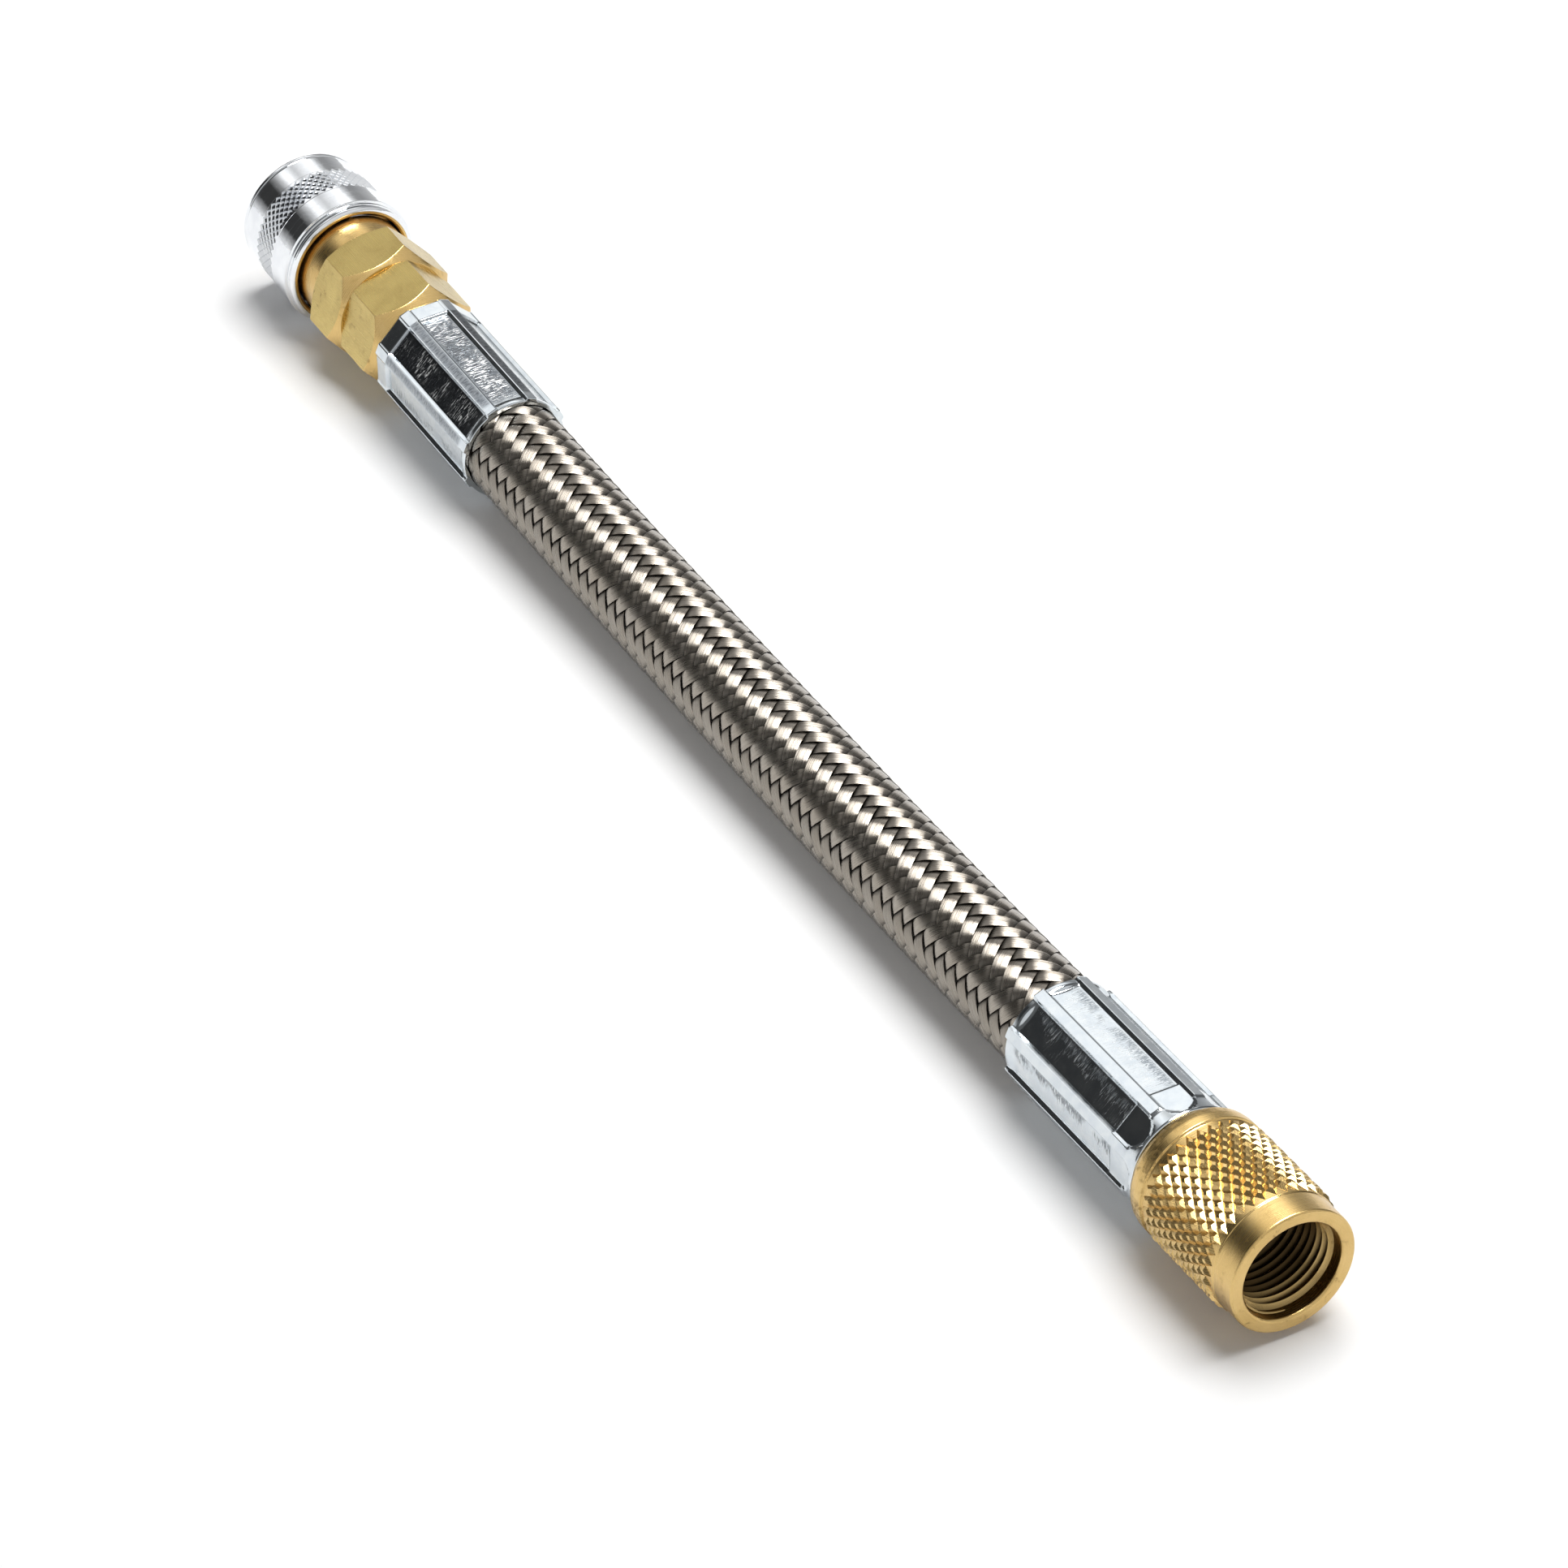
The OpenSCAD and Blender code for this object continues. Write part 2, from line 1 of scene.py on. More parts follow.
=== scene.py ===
# Braided gas hose with a ball-lock quick coupler and a knurled swivel nut.
# Each end is drawn in millimetres along its own axis, from the mouth of its ferrule outwards.
import json
import math

import bpy
import numpy as np
from mathutils import Matrix, Vector


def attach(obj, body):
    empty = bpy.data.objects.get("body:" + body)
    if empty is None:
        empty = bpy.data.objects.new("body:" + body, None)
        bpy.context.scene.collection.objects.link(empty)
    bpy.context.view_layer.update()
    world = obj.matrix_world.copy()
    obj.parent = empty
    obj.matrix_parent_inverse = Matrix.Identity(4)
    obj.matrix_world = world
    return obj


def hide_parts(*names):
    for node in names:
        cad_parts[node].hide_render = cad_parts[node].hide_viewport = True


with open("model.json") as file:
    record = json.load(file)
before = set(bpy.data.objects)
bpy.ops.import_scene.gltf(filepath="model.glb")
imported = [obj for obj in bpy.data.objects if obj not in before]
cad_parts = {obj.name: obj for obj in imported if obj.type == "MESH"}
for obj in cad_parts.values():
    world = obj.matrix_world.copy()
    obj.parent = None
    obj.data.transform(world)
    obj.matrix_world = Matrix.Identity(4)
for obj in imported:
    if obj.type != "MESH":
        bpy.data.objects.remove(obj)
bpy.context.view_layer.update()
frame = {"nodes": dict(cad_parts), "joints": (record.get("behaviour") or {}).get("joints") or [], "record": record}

MM = 0.001

# ---------------------------------------------------------------- where the two ends stand
HOSE_FREE = 167 * MM          # hose that shows between the ferrules
PLUG_LAND = 73.35 * MM        # from the coupler's ferrule to the middle of the plug bore's land
SPIN_CENTRE = 38 * MM         # from the nut's ferrule to the point that the nut turns about

joints = {j["name"]: j for j in frame["joints"]}
mounts = {m["name"]: m for m in frame["record"]["mounts"]}


def end_frame(out, origin, up_sign):
    """Local Z points out of the hose, local Y is the world's, and local X points up or down."""
    z = Vector(out).normalized()
    y = Vector((0, 1, 0))
    x = y.cross(z)
    m = Matrix((x, y, z)).transposed().to_4x4()
    m.translation = origin
    assert x.z * up_sign > 0
    return m


coupler_out = -Vector(joints["sleeve_slide"]["axis"])
socket_middle = Vector(mounts["plug_socket"]["pos_m"])
coupler_end = end_frame(coupler_out, socket_middle - coupler_out * PLUG_LAND, 1)
nut_out = Vector(joints["nut_spin"]["axis"])
nut_end = end_frame(nut_out, Vector(joints["nut_spin"]["pos_m"]) - nut_out * SPIN_CENTRE, -1)

rise_a = math.asin(coupler_out.z)
rise_b = math.asin(nut_out.z)
ARC_R = HOSE_FREE / (rise_a + rise_b)
arc_centre = coupler_end.translation + ARC_R * Vector((math.sin(rise_a), 0, math.cos(rise_a)))


def hose_line(s):
    """Centre of the hose at a distance from the coupler's ferrule, and the way up from it."""
    t = s / ARC_R - rise_a
    up = Vector((-math.sin(t), 0, math.cos(t)))
    return arc_centre - ARC_R * up, up


# ---------------------------------------------------------------- camera
FRAME_PX = 1932               # width of the picture
FOCAL_PX = 8500
SENSOR_MM = 36
CAMERA_AZIMUTH = math.radians(-60.04)
CAMERA_RISE = math.radians(37.61)
CAMERA_ROLL = math.radians(0.54)
CAMERA_DISTANCE = 1045.4 * MM
CAMERA_SLIDE = (0.43 * MM, -6.34 * MM)

lowest, _ = hose_line(rise_a * ARC_R)
forward = Vector((math.sin(CAMERA_AZIMUTH) * math.cos(CAMERA_RISE),
                  math.cos(CAMERA_AZIMUTH) * math.cos(CAMERA_RISE), -math.sin(CAMERA_RISE)))
level = Vector((math.cos(CAMERA_AZIMUTH), -math.sin(CAMERA_AZIMUTH), 0))
above = level.cross(forward)
right = level * math.cos(CAMERA_ROLL) + above * math.sin(CAMERA_ROLL)
above = right.cross(forward)
camera_data = bpy.data.cameras.new("camera")
camera_data.sensor_width = SENSOR_MM
camera_data.lens = FOCAL_PX / FRAME_PX * SENSOR_MM
camera_data.clip_start = 0.05
camera_data.clip_end = 20
camera = bpy.data.objects.new("camera", camera_data)
bpy.context.scene.collection.objects.link(camera)
place = Matrix((right, above, -forward)).transposed().to_4x4()
place.translation = (lowest - forward * CAMERA_DISTANCE + right * CAMERA_SLIDE[0]
                     + above * CAMERA_SLIDE[1])
camera.matrix_world = place
bpy.context.scene.camera = camera


# ---------------------------------------------------------------- small workshop helpers
def finish_piece(obj, body, slot, *nodes, smooth=30):
    """Shades a finished piece, hangs it on its body and lets it stand for its CAD nodes."""
    bpy.ops.object.select_all(action="DESELECT")
    obj.select_set(True)
    bpy.context.view_layer.objects.active = obj
    bpy.ops.object.transform_apply(location=True, rotation=True, scale=True)
    bpy.ops.object.shade_smooth_by_angle(angle=math.radians(smooth))
    if slot != "braid":
        weighted = obj.modifiers.new("face normals", "WEIGHTED_NORMAL")
        weighted.keep_sharp = True
        bpy.ops.object.modifier_apply(modifier=weighted.name)
    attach(obj, body)
    if nodes:
        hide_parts(*nodes)
    return obj


def mesh_piece(name, verts, faces, uv=None):
    """An object from rows of points and faces, with a UV for each corner if given."""
    mesh = bpy.data.meshes.new(name)
    mesh.from_pydata([tuple(v) for v in verts], [], [tuple(f) for f in faces])
    if uv is not None:
        layer = mesh.uv_layers.new(name="UVMap")
        layer.data.foreach_set("uv", np.asarray(uv, np.float32).ravel())
    mesh.update()
    obj = bpy.data.objects.new(name, mesh)
    bpy.context.scene.collection.objects.link(obj)
    return obj


def keep_value(obj, name, values, domain="POINT"):
    """Keeps a number at each point or face, for the finish to read."""
    layer = obj.data.attributes.new(name, "FLOAT", domain)
    layer.data.foreach_set("value", np.asarray(values, np.float32))


# ---------------------------------------------------------------- braided hose
CARRIERS = 12                 # strips wound each way
BRAID_ANGLE = math.radians(53.8)
BRAID_MEAN_R = 7.9 * MM
STRIP_WIDTH = 2.34 * MM
STRIP_THICK = 0.18 * MM
STRIP_CROWN = 0.07 * MM
STRIP_WANDER = 0.012 * MM     # how far a strip lies above or below its neighbours
STRIP_SEEDS = {1: 11, -1: 29}
WEAVE_DEPTH = 0.3 * MM
WEAVE_EASE = 0.5              # how gently a strip goes from top to under
WEAVE_TURN = math.radians(3)
TUCK = 2.2 * MM               # how far the strips run into the ferrules' mouths
SQUEEZE = 0.6 * MM            # how much the hose narrows over FLARE inside a ferrule
FLARE = 2.5 * MM

lay = 2 * math.pi * BRAID_MEAN_R / math.tan(BRAID_ANGLE)


def weave(e):
    """+1 where a strip lies on top and -1 where it lies under, over two crossings each."""
    c = np.cos(2 * np.pi * (e - 0.5) / 4)
    return c / np.sqrt(c * c + WEAVE_EASE ** 2) * math.sqrt(1 + WEAVE_EASE ** 2)


def strips(name, hand):
    """All the strips wound one way, as closed flat bands with a low crown."""
    rng = np.random.default_rng(STRIP_SEEDS[hand])
    step = lay / (2 * CARRIERS) / 4
    count = int(round((HOSE_FREE + 2 * TUCK) / step)) + 1
    s = np.linspace(-TUCK, HOSE_FREE + TUCK, count)
    across = np.array([-1, -0.86, -0.55, 0, 0.55, 0.86, 1.0])
    section_u = np.concatenate([across, [0.97, -0.97]])
    top = STRIP_THICK / 2 - STRIP_CROWN * np.abs(across) ** 3
    section_h = np.concatenate([top, [-STRIP_THICK / 2 - 0.02 * MM] * 2])
    n = len(section_u)
    verts, faces, uvs, dips = [], [], [], []
    for k in range(CARRIERS):
        wobble = rng.uniform(-1, 1, 4)
        u = section_u * STRIP_WIDTH / 2 * (1 + 0.03 * wobble[0])
        phase = 2 * np.pi * (k + 0.02 * wobble[1]) / CARRIERS
        S = s[:, None] - hand * u[None, :] * math.sin(BRAID_ANGLE)
        angle = phase + hand * 2 * np.pi * s[:, None] / lay
        angle = angle + u[None, :] * math.cos(BRAID_ANGLE) / BRAID_MEAN_R
        other = CARRIERS * (angle / (2 * np.pi) + hand * S / lay)
        lift = hand * WEAVE_DEPTH * weave(k + other)
        depth = np.clip(np.maximum(-S, S - HOSE_FREE), 0, FLARE) / FLARE
        r = BRAID_MEAN_R - SQUEEZE * depth + lift * (1 - 0.5 * depth)
        r = r + section_h[None, :] + STRIP_WANDER * wobble[2]
        t = S / ARC_R - rise_a
        up_x, up_z = -np.sin(t), np.cos(t)
        cx = arc_centre.x - ARC_R * up_x
        cz = arc_centre.z - ARC_R * up_z
        angle = angle - WEAVE_TURN
        x = cx + r * np.cos(angle) * up_x
        y = r * np.sin(angle)
        z = cz + r * np.cos(angle) * up_z
        base = len(verts)
        verts += list(np.stack([x, y, z], -1).reshape(-1, 3))
        # How far each point dips under, for the painted shade in the finish.
        dips.append((0.5 - 0.5 * lift / WEAVE_DEPTH).reshape(-1))
        along = s / math.cos(BRAID_ANGLE)
        for i in range(count - 1):
            for j in range(n):
                a, b = base + i * n + j, base + i * n + (j + 1) % n
                faces.append((a, b, b + n, a + n))
                u0, u1 = section_u[j] * 0.5 + 0.5, section_u[(j + 1) % n] * 0.5 + 0.5
                v0, v1 = along[i] * 100 + k, along[i + 1] * 100 + k
                uvs += [(u0, v0), (u1, v0), (u1, v1), (u0, v1)]
        for row, flip in ((0, True), (count - 1, False)):
            cap = [base + row * n + j for j in range(n)]
            faces.append(cap[::-1] if flip else cap)
            uvs += [(0.5, 0.0)] * n
    obj = mesh_piece(name, verts, faces, uvs)
    keep_value(obj, "dip", np.concatenate(dips))
    return obj


braid_right = strips("braid_strips_right", 1)
braid_left = strips("braid_strips_left", -1)
for piece in (braid_right, braid_left):
    finish_piece(piece, "root", "braid", "braid_jacket", smooth=60)


# ---------------------------------------------------------------- turned and crimped metal
def eased(points, radius):
    """The same closed outline with every corner rounded a little (in mm)."""
    result = []
    count = len(points)
    for i in range(count):
        p, c, n = (np.array(points[j % count], float) for j in (i - 1, i, i + 1))
        back, ahead = p - c, n - c
        lb, la = np.linalg.norm(back), np.linalg.norm(ahead)
        corner = math.acos(max(-1, min(1, float(back @ ahead) / (lb * la))))
        if corner > math.radians(172):
            result.append(tuple(c))
            continue
        cut = min(radius, 0.42 * lb, 0.42 * la)
        a, b = c + back / lb * cut, c + ahead / la * cut
        result += [tuple(a), tuple(0.25 * a + 0.5 * c + 0.25 * b), tuple(b)]
    return result


def turned_skin(name, outline, columns):
    """A closed turned solid: a ring of edges, extruded and scaled station by station (in mm)."""
    bpy.ops.object.select_all(action="DESELECT")
    r, z = outline[0]
    bpy.ops.mesh.primitive_circle_add(vertices=columns, radius=r * MM, location=(0, 0, z * MM))
    obj = bpy.context.object
    obj.name = name
    obj.data.name = name
    bpy.ops.object.transform_apply(location=True, rotation=True, scale=True)
    bpy.ops.object.mode_set(mode="EDIT")
    bpy.ops.mesh.select_mode(type="VERT")
    bpy.ops.mesh.select_all(action="SELECT")
    for r2, z2 in outline[1:] + outline[:1]:
        bpy.ops.mesh.extrude_region_move(TRANSFORM_OT_translate={"value": (0, 0, (z2 - z) * MM)})
        bpy.ops.transform.resize(value=(r2 / r, r2 / r, 1), center_override=(0, 0, z2 * MM))
        r, z = r2, z2
    bpy.ops.mesh.select_all(action="SELECT")
    bpy.ops.mesh.remove_doubles(threshold=0.0002 * MM)
    bpy.ops.mesh.normals_make_consistent(inside=False)
    bpy.ops.object.mode_set(mode="OBJECT")
    return obj


def ease(x):
    """A soft step from 0 at 0 to 1 at 1."""
    x = np.clip(x, 0, 1)
    return x * x * (3 - 2 * x)


def places(obj):
    """Where each vertex is, as rows of x, y and z."""
    co = np.empty(len(obj.data.vertices) * 3)
    obj.data.vertices.foreach_get("co", co)
    return co.reshape(-1, 3)


def choose(obj, picked, kind="VERT"):
    """Selects vertices, edges or faces by a row of flags and opens the mesh for shaping."""
    if bpy.context.mode == "EDIT_MESH":
        bpy.ops.object.mode_set(mode="OBJECT")
    bpy.ops.object.select_all(action="DESELECT")
    obj.select_set(True)
    bpy.context.view_layer.objects.active = obj
    bpy.ops.object.mode_set(mode="EDIT")
    bpy.ops.mesh.select_mode(type=kind)
    bpy.ops.mesh.select_all(action="DESELECT")
    bpy.ops.object.mode_set(mode="OBJECT")
    items = {"VERT": obj.data.vertices, "EDGE": obj.data.edges, "FACE": obj.data.polygons}[kind]
    items.foreach_set("select", np.asarray(picked, bool))
    bpy.ops.object.mode_set(mode="EDIT")


NUDGE = 1.004                 # lifts every other corner, so that each square splits the right way


def knurl_rows(r, z0, z1, rows):
    """Even stations for the band of a knurl."""
    return [(r, z0 + (z1 - z0) * i / rows) for i in range(rows + 1)]


def knurl(obj, z0, z1, rows, columns, border, depth):
    """Cuts a band of the skin into diamonds, and raises (or sinks, below 0) the inside of each."""
    co = places(obj)
    row = (co[:, 2] / MM - z0) / (z1 - z0) * rows
    radius = np.hypot(co[:, 0], co[:, 1])
    column = np.degrees(np.arctan2(co[:, 0], co[:, 1])) / 360 * columns
    outer_r = radius.max() * 0.9
    on_row = (np.abs(row - np.round(row)) < 0.03) & (row > -0.5) & (row < rows + 0.5)
    inside = (radius > outer_r) & on_row
    odd = (np.round(row).astype(int) + np.round(column).astype(int)) % 2 == 1
    choose(obj, inside & odd)
    bpy.ops.transform.resize(value=(NUDGE, NUDGE, 1), center_override=(0, 0, 0))
    choose(obj, inside)
    bpy.ops.mesh.quads_convert_to_tris(quad_method="SHORTEST_DIAGONAL", ngon_method="BEAUTY")
    choose(obj, inside & odd)
    bpy.ops.transform.resize(value=(1 / NUDGE, 1 / NUDGE, 1), center_override=(0, 0, 0))
    choose(obj, inside & odd & (row > 0.5) & (row < rows - 0.5))
    bpy.ops.mesh.dissolve_verts()
    bpy.ops.object.mode_set(mode="OBJECT")
    corners = places(obj)
    centres = np.array([corners[list(p.vertices)].mean(0) for p in obj.data.polygons])
    four = np.array([len(p.vertices) == 4 for p in obj.data.polygons])
    out_r = np.hypot(centres[:, 0], centres[:, 1])
    band = (centres[:, 2] > z0 * MM) & (centres[:, 2] < z1 * MM)
    choose(obj, four & band & (out_r > outer_r), "FACE")
    bpy.ops.mesh.inset(thickness=border * MM, depth=depth * MM, use_individual=True)
    bpy.ops.object.mode_set(mode="OBJECT")
    pits = np.empty(len(obj.data.polygons), bool)
    obj.data.polygons.foreach_get("select", pits)
    # Marks the inset faces; on the sleeve they get painted shade.
    keep_value(obj, "pit", pits, "FACE")


UNROLL_R = 9


def unroll(obj):
    """UV in millimetres of arc (at UNROLL_R) and of length, for finishes that follow a turning."""
    co = places(obj)
    mesh = obj.data
    corner = np.empty(len(mesh.loops), np.int32)
    mesh.loops.foreach_get("vertex_index", corner)
    angle = np.arctan2(co[:, 1], co[:, 0])[corner]
    z = (co[:, 2] / MM)[corner]
    for p in mesh.polygons:
        part = angle[p.loop_start:p.loop_start + p.loop_total]
        if part.max() - part.min() > math.pi:
            part[part < 0] += 2 * math.pi
    while mesh.uv_layers:
        mesh.uv_layers.remove(mesh.uv_layers[0])
    layer = mesh.uv_layers.new(name="UVMap")
    layer.data.foreach_set("uv", np.stack([angle * UNROLL_R, z], -1).astype(np.float32).ravel())


def thread_ridge(name, root_r, crest_r, pitch, z0, turns):
    """An inside thread's ridge, swept up a helix, that runs out at both ends (in mm)."""
    half = 0.43 * pitch
    section = [(root_r, -half), (root_r, half), (crest_r, 0.08), (crest_r, -0.08)]
    obj = mesh_piece(name, [(r * MM, 0, (z0 + z) * MM) for r, z in section], [])
    obj.data.edges.add(4)
    obj.data.edges.foreach_set("vertices", [0, 1, 1, 2, 2, 3, 3, 0])
    screw = obj.modifiers.new("screw", "SCREW")
    screw.screw_offset = pitch * MM
    screw.iterations = turns
    screw.steps = screw.render_steps = 72
    bpy.ops.object.select_all(action="DESELECT")
    obj.select_set(True)
    bpy.context.view_layer.objects.active = obj
    bpy.ops.object.modifier_apply(modifier="screw")
    bpy.ops.object.mode_set(mode="EDIT")
    bpy.ops.mesh.select_mode(type="VERT")
    bpy.ops.mesh.select_all(action="SELECT")
    bpy.ops.mesh.remove_doubles(threshold=0.0002 * MM)
    bpy.ops.mesh.fill_holes(sides=4)
    bpy.ops.mesh.normals_make_consistent(inside=False)
    bpy.ops.object.mode_set(mode="OBJECT")
    co = places(obj)
    r = np.hypot(co[:, 0], co[:, 1]) / MM
    run = (co[:, 2] / MM - z0) / pitch
    fade = np.clip(np.minimum(run, turns - run) / 0.35, 0, 1)
    new_r = root_r - (root_r - r) * fade
    co[:, :2] *= (new_r / r)[:, None]
    obj.data.vertices.foreach_set("co", co.ravel())
    obj.data.update()
    return obj


def join(main, *others):
    """Makes one object of several, under the first one's name."""
    bpy.ops.object.select_all(action="DESELECT")
    for o in (main,) + others:
        o.select_set(True)
    bpy.context.view_layer.objects.active = main
    bpy.ops.object.join()
    return main


# Swivel nut: rounded rear band, knurl, neck, flat face, countersink and a 5/8-18 thread
NUT_COLUMNS = 72
KNURL_ROWS = 12
KNURL_FROM, KNURL_TO = 39.15, 56.75
NUT_FOOT_R = 10.32            # at the foot of the knurl


def bore_shade(r, z):
    """Painted shade in the nut's bore: full deep inside, less on the crests near the mouth."""
    deep = np.maximum(0.35 + 0.65 * ease((r - 7.3) / 0.4), ease((58.5 - z) / 4))
    return (r < 8.25) * deep * ease((61.2 - z) / 3)


nut_outline = [(6.5, 35.0), (9.5, 35.0), (10.05, 35.35), (10.45, 36.1), (10.65, 37.2),
               (10.68, 38.7), (NUT_FOOT_R, 38.85)]
nut_outline += knurl_rows(NUT_FOOT_R, KNURL_FROM, KNURL_TO, KNURL_ROWS)
nut_outline += [(NUT_FOOT_R, 57.0), (10.2, 57.15), (10.2, 61.35), (9.95, 61.6), (8.3, 61.6),
                (7.98, 61.28), (7.98, 40.5), (6.5, 40.5)]
nut = turned_skin("swivel_nut_knurled", eased(nut_outline, 0.18), NUT_COLUMNS)
knurl(nut, KNURL_FROM, KNURL_TO, KNURL_ROWS, NUT_COLUMNS, border=0.5, depth=0.47)
ridge = thread_ridge("nut_thread_ridge", root_r=8.02, crest_r=7.28, pitch=1.411, z0=47.3, turns=9)
nut = join(nut, ridge)
nut_at = places(nut)
# Keeps the bore's painted shade for the finish to read.
keep_value(nut, "bore", bore_shade(np.hypot(nut_at[:, 0], nut_at[:, 1]) / MM, nut_at[:, 2] / MM))
nut.matrix_world = nut_end
finish_piece(nut, "nut", "brass", "swivel_nut", smooth=32)

# Locking sleeve: grooved rims, plain bands, and a knurl of small sunk diamonds
SLEEVE_COLUMNS = 104
SLEEVE_ROWS = 8
SLEEVE_FROM, SLEEVE_TO = 64.2, 69.9
SLEEVE_BACK, SLEEVE_FRONT = 57.2, 75.7
SLEEVE_FOOT_R = 11.4          # at the foot of the knurl
rear_rim = [(10.5, 0), (10.65, 0), (11.25, 0.25), (11.25, 0.7), (10.9, 0.85), (10.9, 1.05),
            (11.35, 1.15), (11.35, 1.35), (11.0, 1.45), (11.0, 1.6), (11.75, 1.75), (11.75, 6.5),
            (11.5, 6.8), (SLEEVE_FOOT_R, 6.85)]
front_rim = [(SLEEVE_FOOT_R, 5.7), (11.25, 5.6), (11.25, 1.45), (10.95, 1.35), (10.95, 1.15),
             (11.2, 1.05), (11.2, 0.5), (10.9, 0.1), (10.7, 0), (10.25, 0), (10.05, 0.3)]
sleeve_inside = [(10.05, 73.9), (9.352, 73.9), (8.35, 69.68), (8.35, 67.4), (10.2, 67.4),
                 (10.2, SLEEVE_BACK + 2), (10.5, SLEEVE_BACK + 2)]
sleeve_outline = [(r, SLEEVE_BACK + z) for r, z in rear_rim]
sleeve_outline += knurl_rows(SLEEVE_FOOT_R, SLEEVE_FROM, SLEEVE_TO, SLEEVE_ROWS)
sleeve_outline += [(r, SLEEVE_FRONT - z) for r, z in front_rim] + sleeve_inside
sleeve = turned_skin("lock_sleeve_plated", eased(sleeve_outline, 0.12), SLEEVE_COLUMNS)
knurl(sleeve, SLEEVE_FROM, SLEEVE_TO, SLEEVE_ROWS, SLEEVE_COLUMNS, border=0.17, depth=-0.34)
sleeve.matrix_world = coupler_end
finish_piece(sleeve, "sleeve", "sleeve_plating", "lock_sleeve", smooth=32)

# Crimped ferrules: eight jaws leave scuffed flats between flat-topped ribs, and a lip at the mouth
RIDGES = 8
RIDGE_COLUMNS = 24
HALF_PITCH = 180 / RIDGES     # degrees from the middle of a rib to the middle of a flat
RIB_FOOT = 7                  # degrees from the middle of a rib to its foot
BLANK_R, RIDGE_R, JAW_R, LIP_R, COLLAR_R = 8.6, 9.56, 8.56, 9.08, 9.4
EVEN = np.linspace(0, HALF_PITCH, 13)
OFFSETS = np.array([0, 2.2, 4.1, 4.7, 5.3, 6.2, 7.0, 7.7, 9.0, 11.5, 15, 18.8, HALF_PITCH])


def crimped_ferrule(name, length, jaw_end, run_out, collar_from, turn_deg, rib_scuff_and_shade, scuff_and_shade_side):
    """Turned blank, pressed by the jaws as far as jaw_end, then a run-out and a plain end."""
    zs = [0.0, 0.08, 0.2, 0.45, 0.8, 1.0, 1.2, 1.4, 1.7, 2.2, 4.0]
    zs += list(np.linspace(6.5, jaw_end - 1.5, 8))
    zs += list(jaw_end + np.array([-0.5, -0.25, -0.12, 0, 0.12, 0.25, 0.5]))
    zs += list(np.arange(jaw_end + 0.9, length - 0.7, 0.3))
    zs += [length - 0.5, length - 0.3, length - 0.15, length - 0.05]
    outline = [(BLANK_R, z) for z in zs] + [(BLANK_R, length)]
    outline += [(7.9, length), (5.6, length), (5.6, length - 4), (7.7, length - 4), (7.7, 2.5),
                (8.35, 0.05)]
    obj = turned_skin(name, outline, RIDGES * RIDGE_COLUMNS)
    co = places(obj)
    r = np.hypot(co[:, 0], co[:, 1]) / MM
    z = co[:, 2] / MM
    skin = r > 8.5
    angle = np.degrees(np.arctan2(co[:, 1], co[:, 0]))
    pitch = 360 / RIDGES
    near = np.round(angle / pitch) * pitch
    offset = angle - near
    warped = np.sign(offset) * np.interp(np.abs(offset), EVEN, OFFSETS)
    offset = np.abs(warped)
    step = ease((z - jaw_end + 0.2) / 0.4)
    flat = (JAW_R + (run_out - JAW_R) * step) / np.cos(np.radians(HALF_PITCH - offset))
    lip = 1 - ease((z - 0.8) / 0.9)
    flat += (np.maximum(LIP_R, flat) - flat) * lip
    rib = 1 - ease((offset - 4.7) / 2.6)
    crest = RIDGE_R / np.cos(np.radians(np.minimum(offset, RIB_FOOT)))
    pressed = flat + (crest - flat) * rib
    side = np.clip((HALF_PITCH - offset) / (HALF_PITCH - RIB_FOOT), 0, 1)
    free = ease((z - collar_from + 2.0 * (1 - np.sqrt(1 - side * side))) / 0.7)
    new_r = pressed + (COLLAR_R - pressed) * free
    for edge, width in ((z, 0.2), (length - z, 0.5)):
        new_r -= 0.7 * width * (1 - np.sqrt(1 - (1 - np.clip(edge / width, 0, 1)) ** 2))
    use_angle = np.radians(np.where(skin, near + warped, angle) + turn_deg)
    use_r = np.where(skin, new_r, r)
    co[:, 0] = np.cos(use_angle) * use_r * MM
    co[:, 1] = np.sin(use_angle) * use_r * MM
    obj.data.vertices.foreach_set("co", co.ravel())
    pressed_here = np.where(skin, (1 - step) * ease((z - 1.4) / 1.2), 0)
    keep_value(obj, "jaw", ease((offset - 7.2) / 3) * pressed_here)
    # The flats and rib tops on one side carry real scuffs and also a painted dark reflection, fading round the
    # ferrule.
    facing = np.cos(np.radians(angle + turn_deg - scuff_and_shade_side))
    rib_scuff_and_shade = rib_scuff_and_shade * (0.2 + 0.8 * ease((facing - 0.45) / 0.3))
    rubbed = np.where(offset < 5.5, 1 - ease((offset - 3.8) / 1.0), ease((offset - 6.6) / 1.2))
    keep_value(obj, "scuff_and_dark_side", rubbed * rib_scuff_and_shade * pressed_here)
    keep_value(obj, "side", np.mod(near + warped, pitch) / pitch)
    obj.data.update()
    unroll(obj)
    return obj


ferrule_a = crimped_ferrule("coupler_ferrule_crimped", length=31.0, jaw_end=27.3, run_out=9.0,
                            collar_from=40, turn_deg=-25, rib_scuff_and_shade=0.95, scuff_and_shade_side=-22)
ferrule_a.matrix_world = coupler_end
finish_piece(ferrule_a, "root", "ferrule_zinc", "coupler_ferrule", smooth=28)
ferrule_b = crimped_ferrule("nut_ferrule_crimped", length=34.5, jaw_end=27.8, run_out=8.75,
                            collar_from=33.3, turn_deg=22.5, rib_scuff_and_shade=0.0, scuff_and_shade_side=0)
ferrule_b.matrix_world = nut_end
finish_piece(ferrule_b, "root", "ferrule_zinc", "nut_ferrule", smooth=28)


HEX_EDGE = 0.3                # how much of each edge of a hexagon is broken


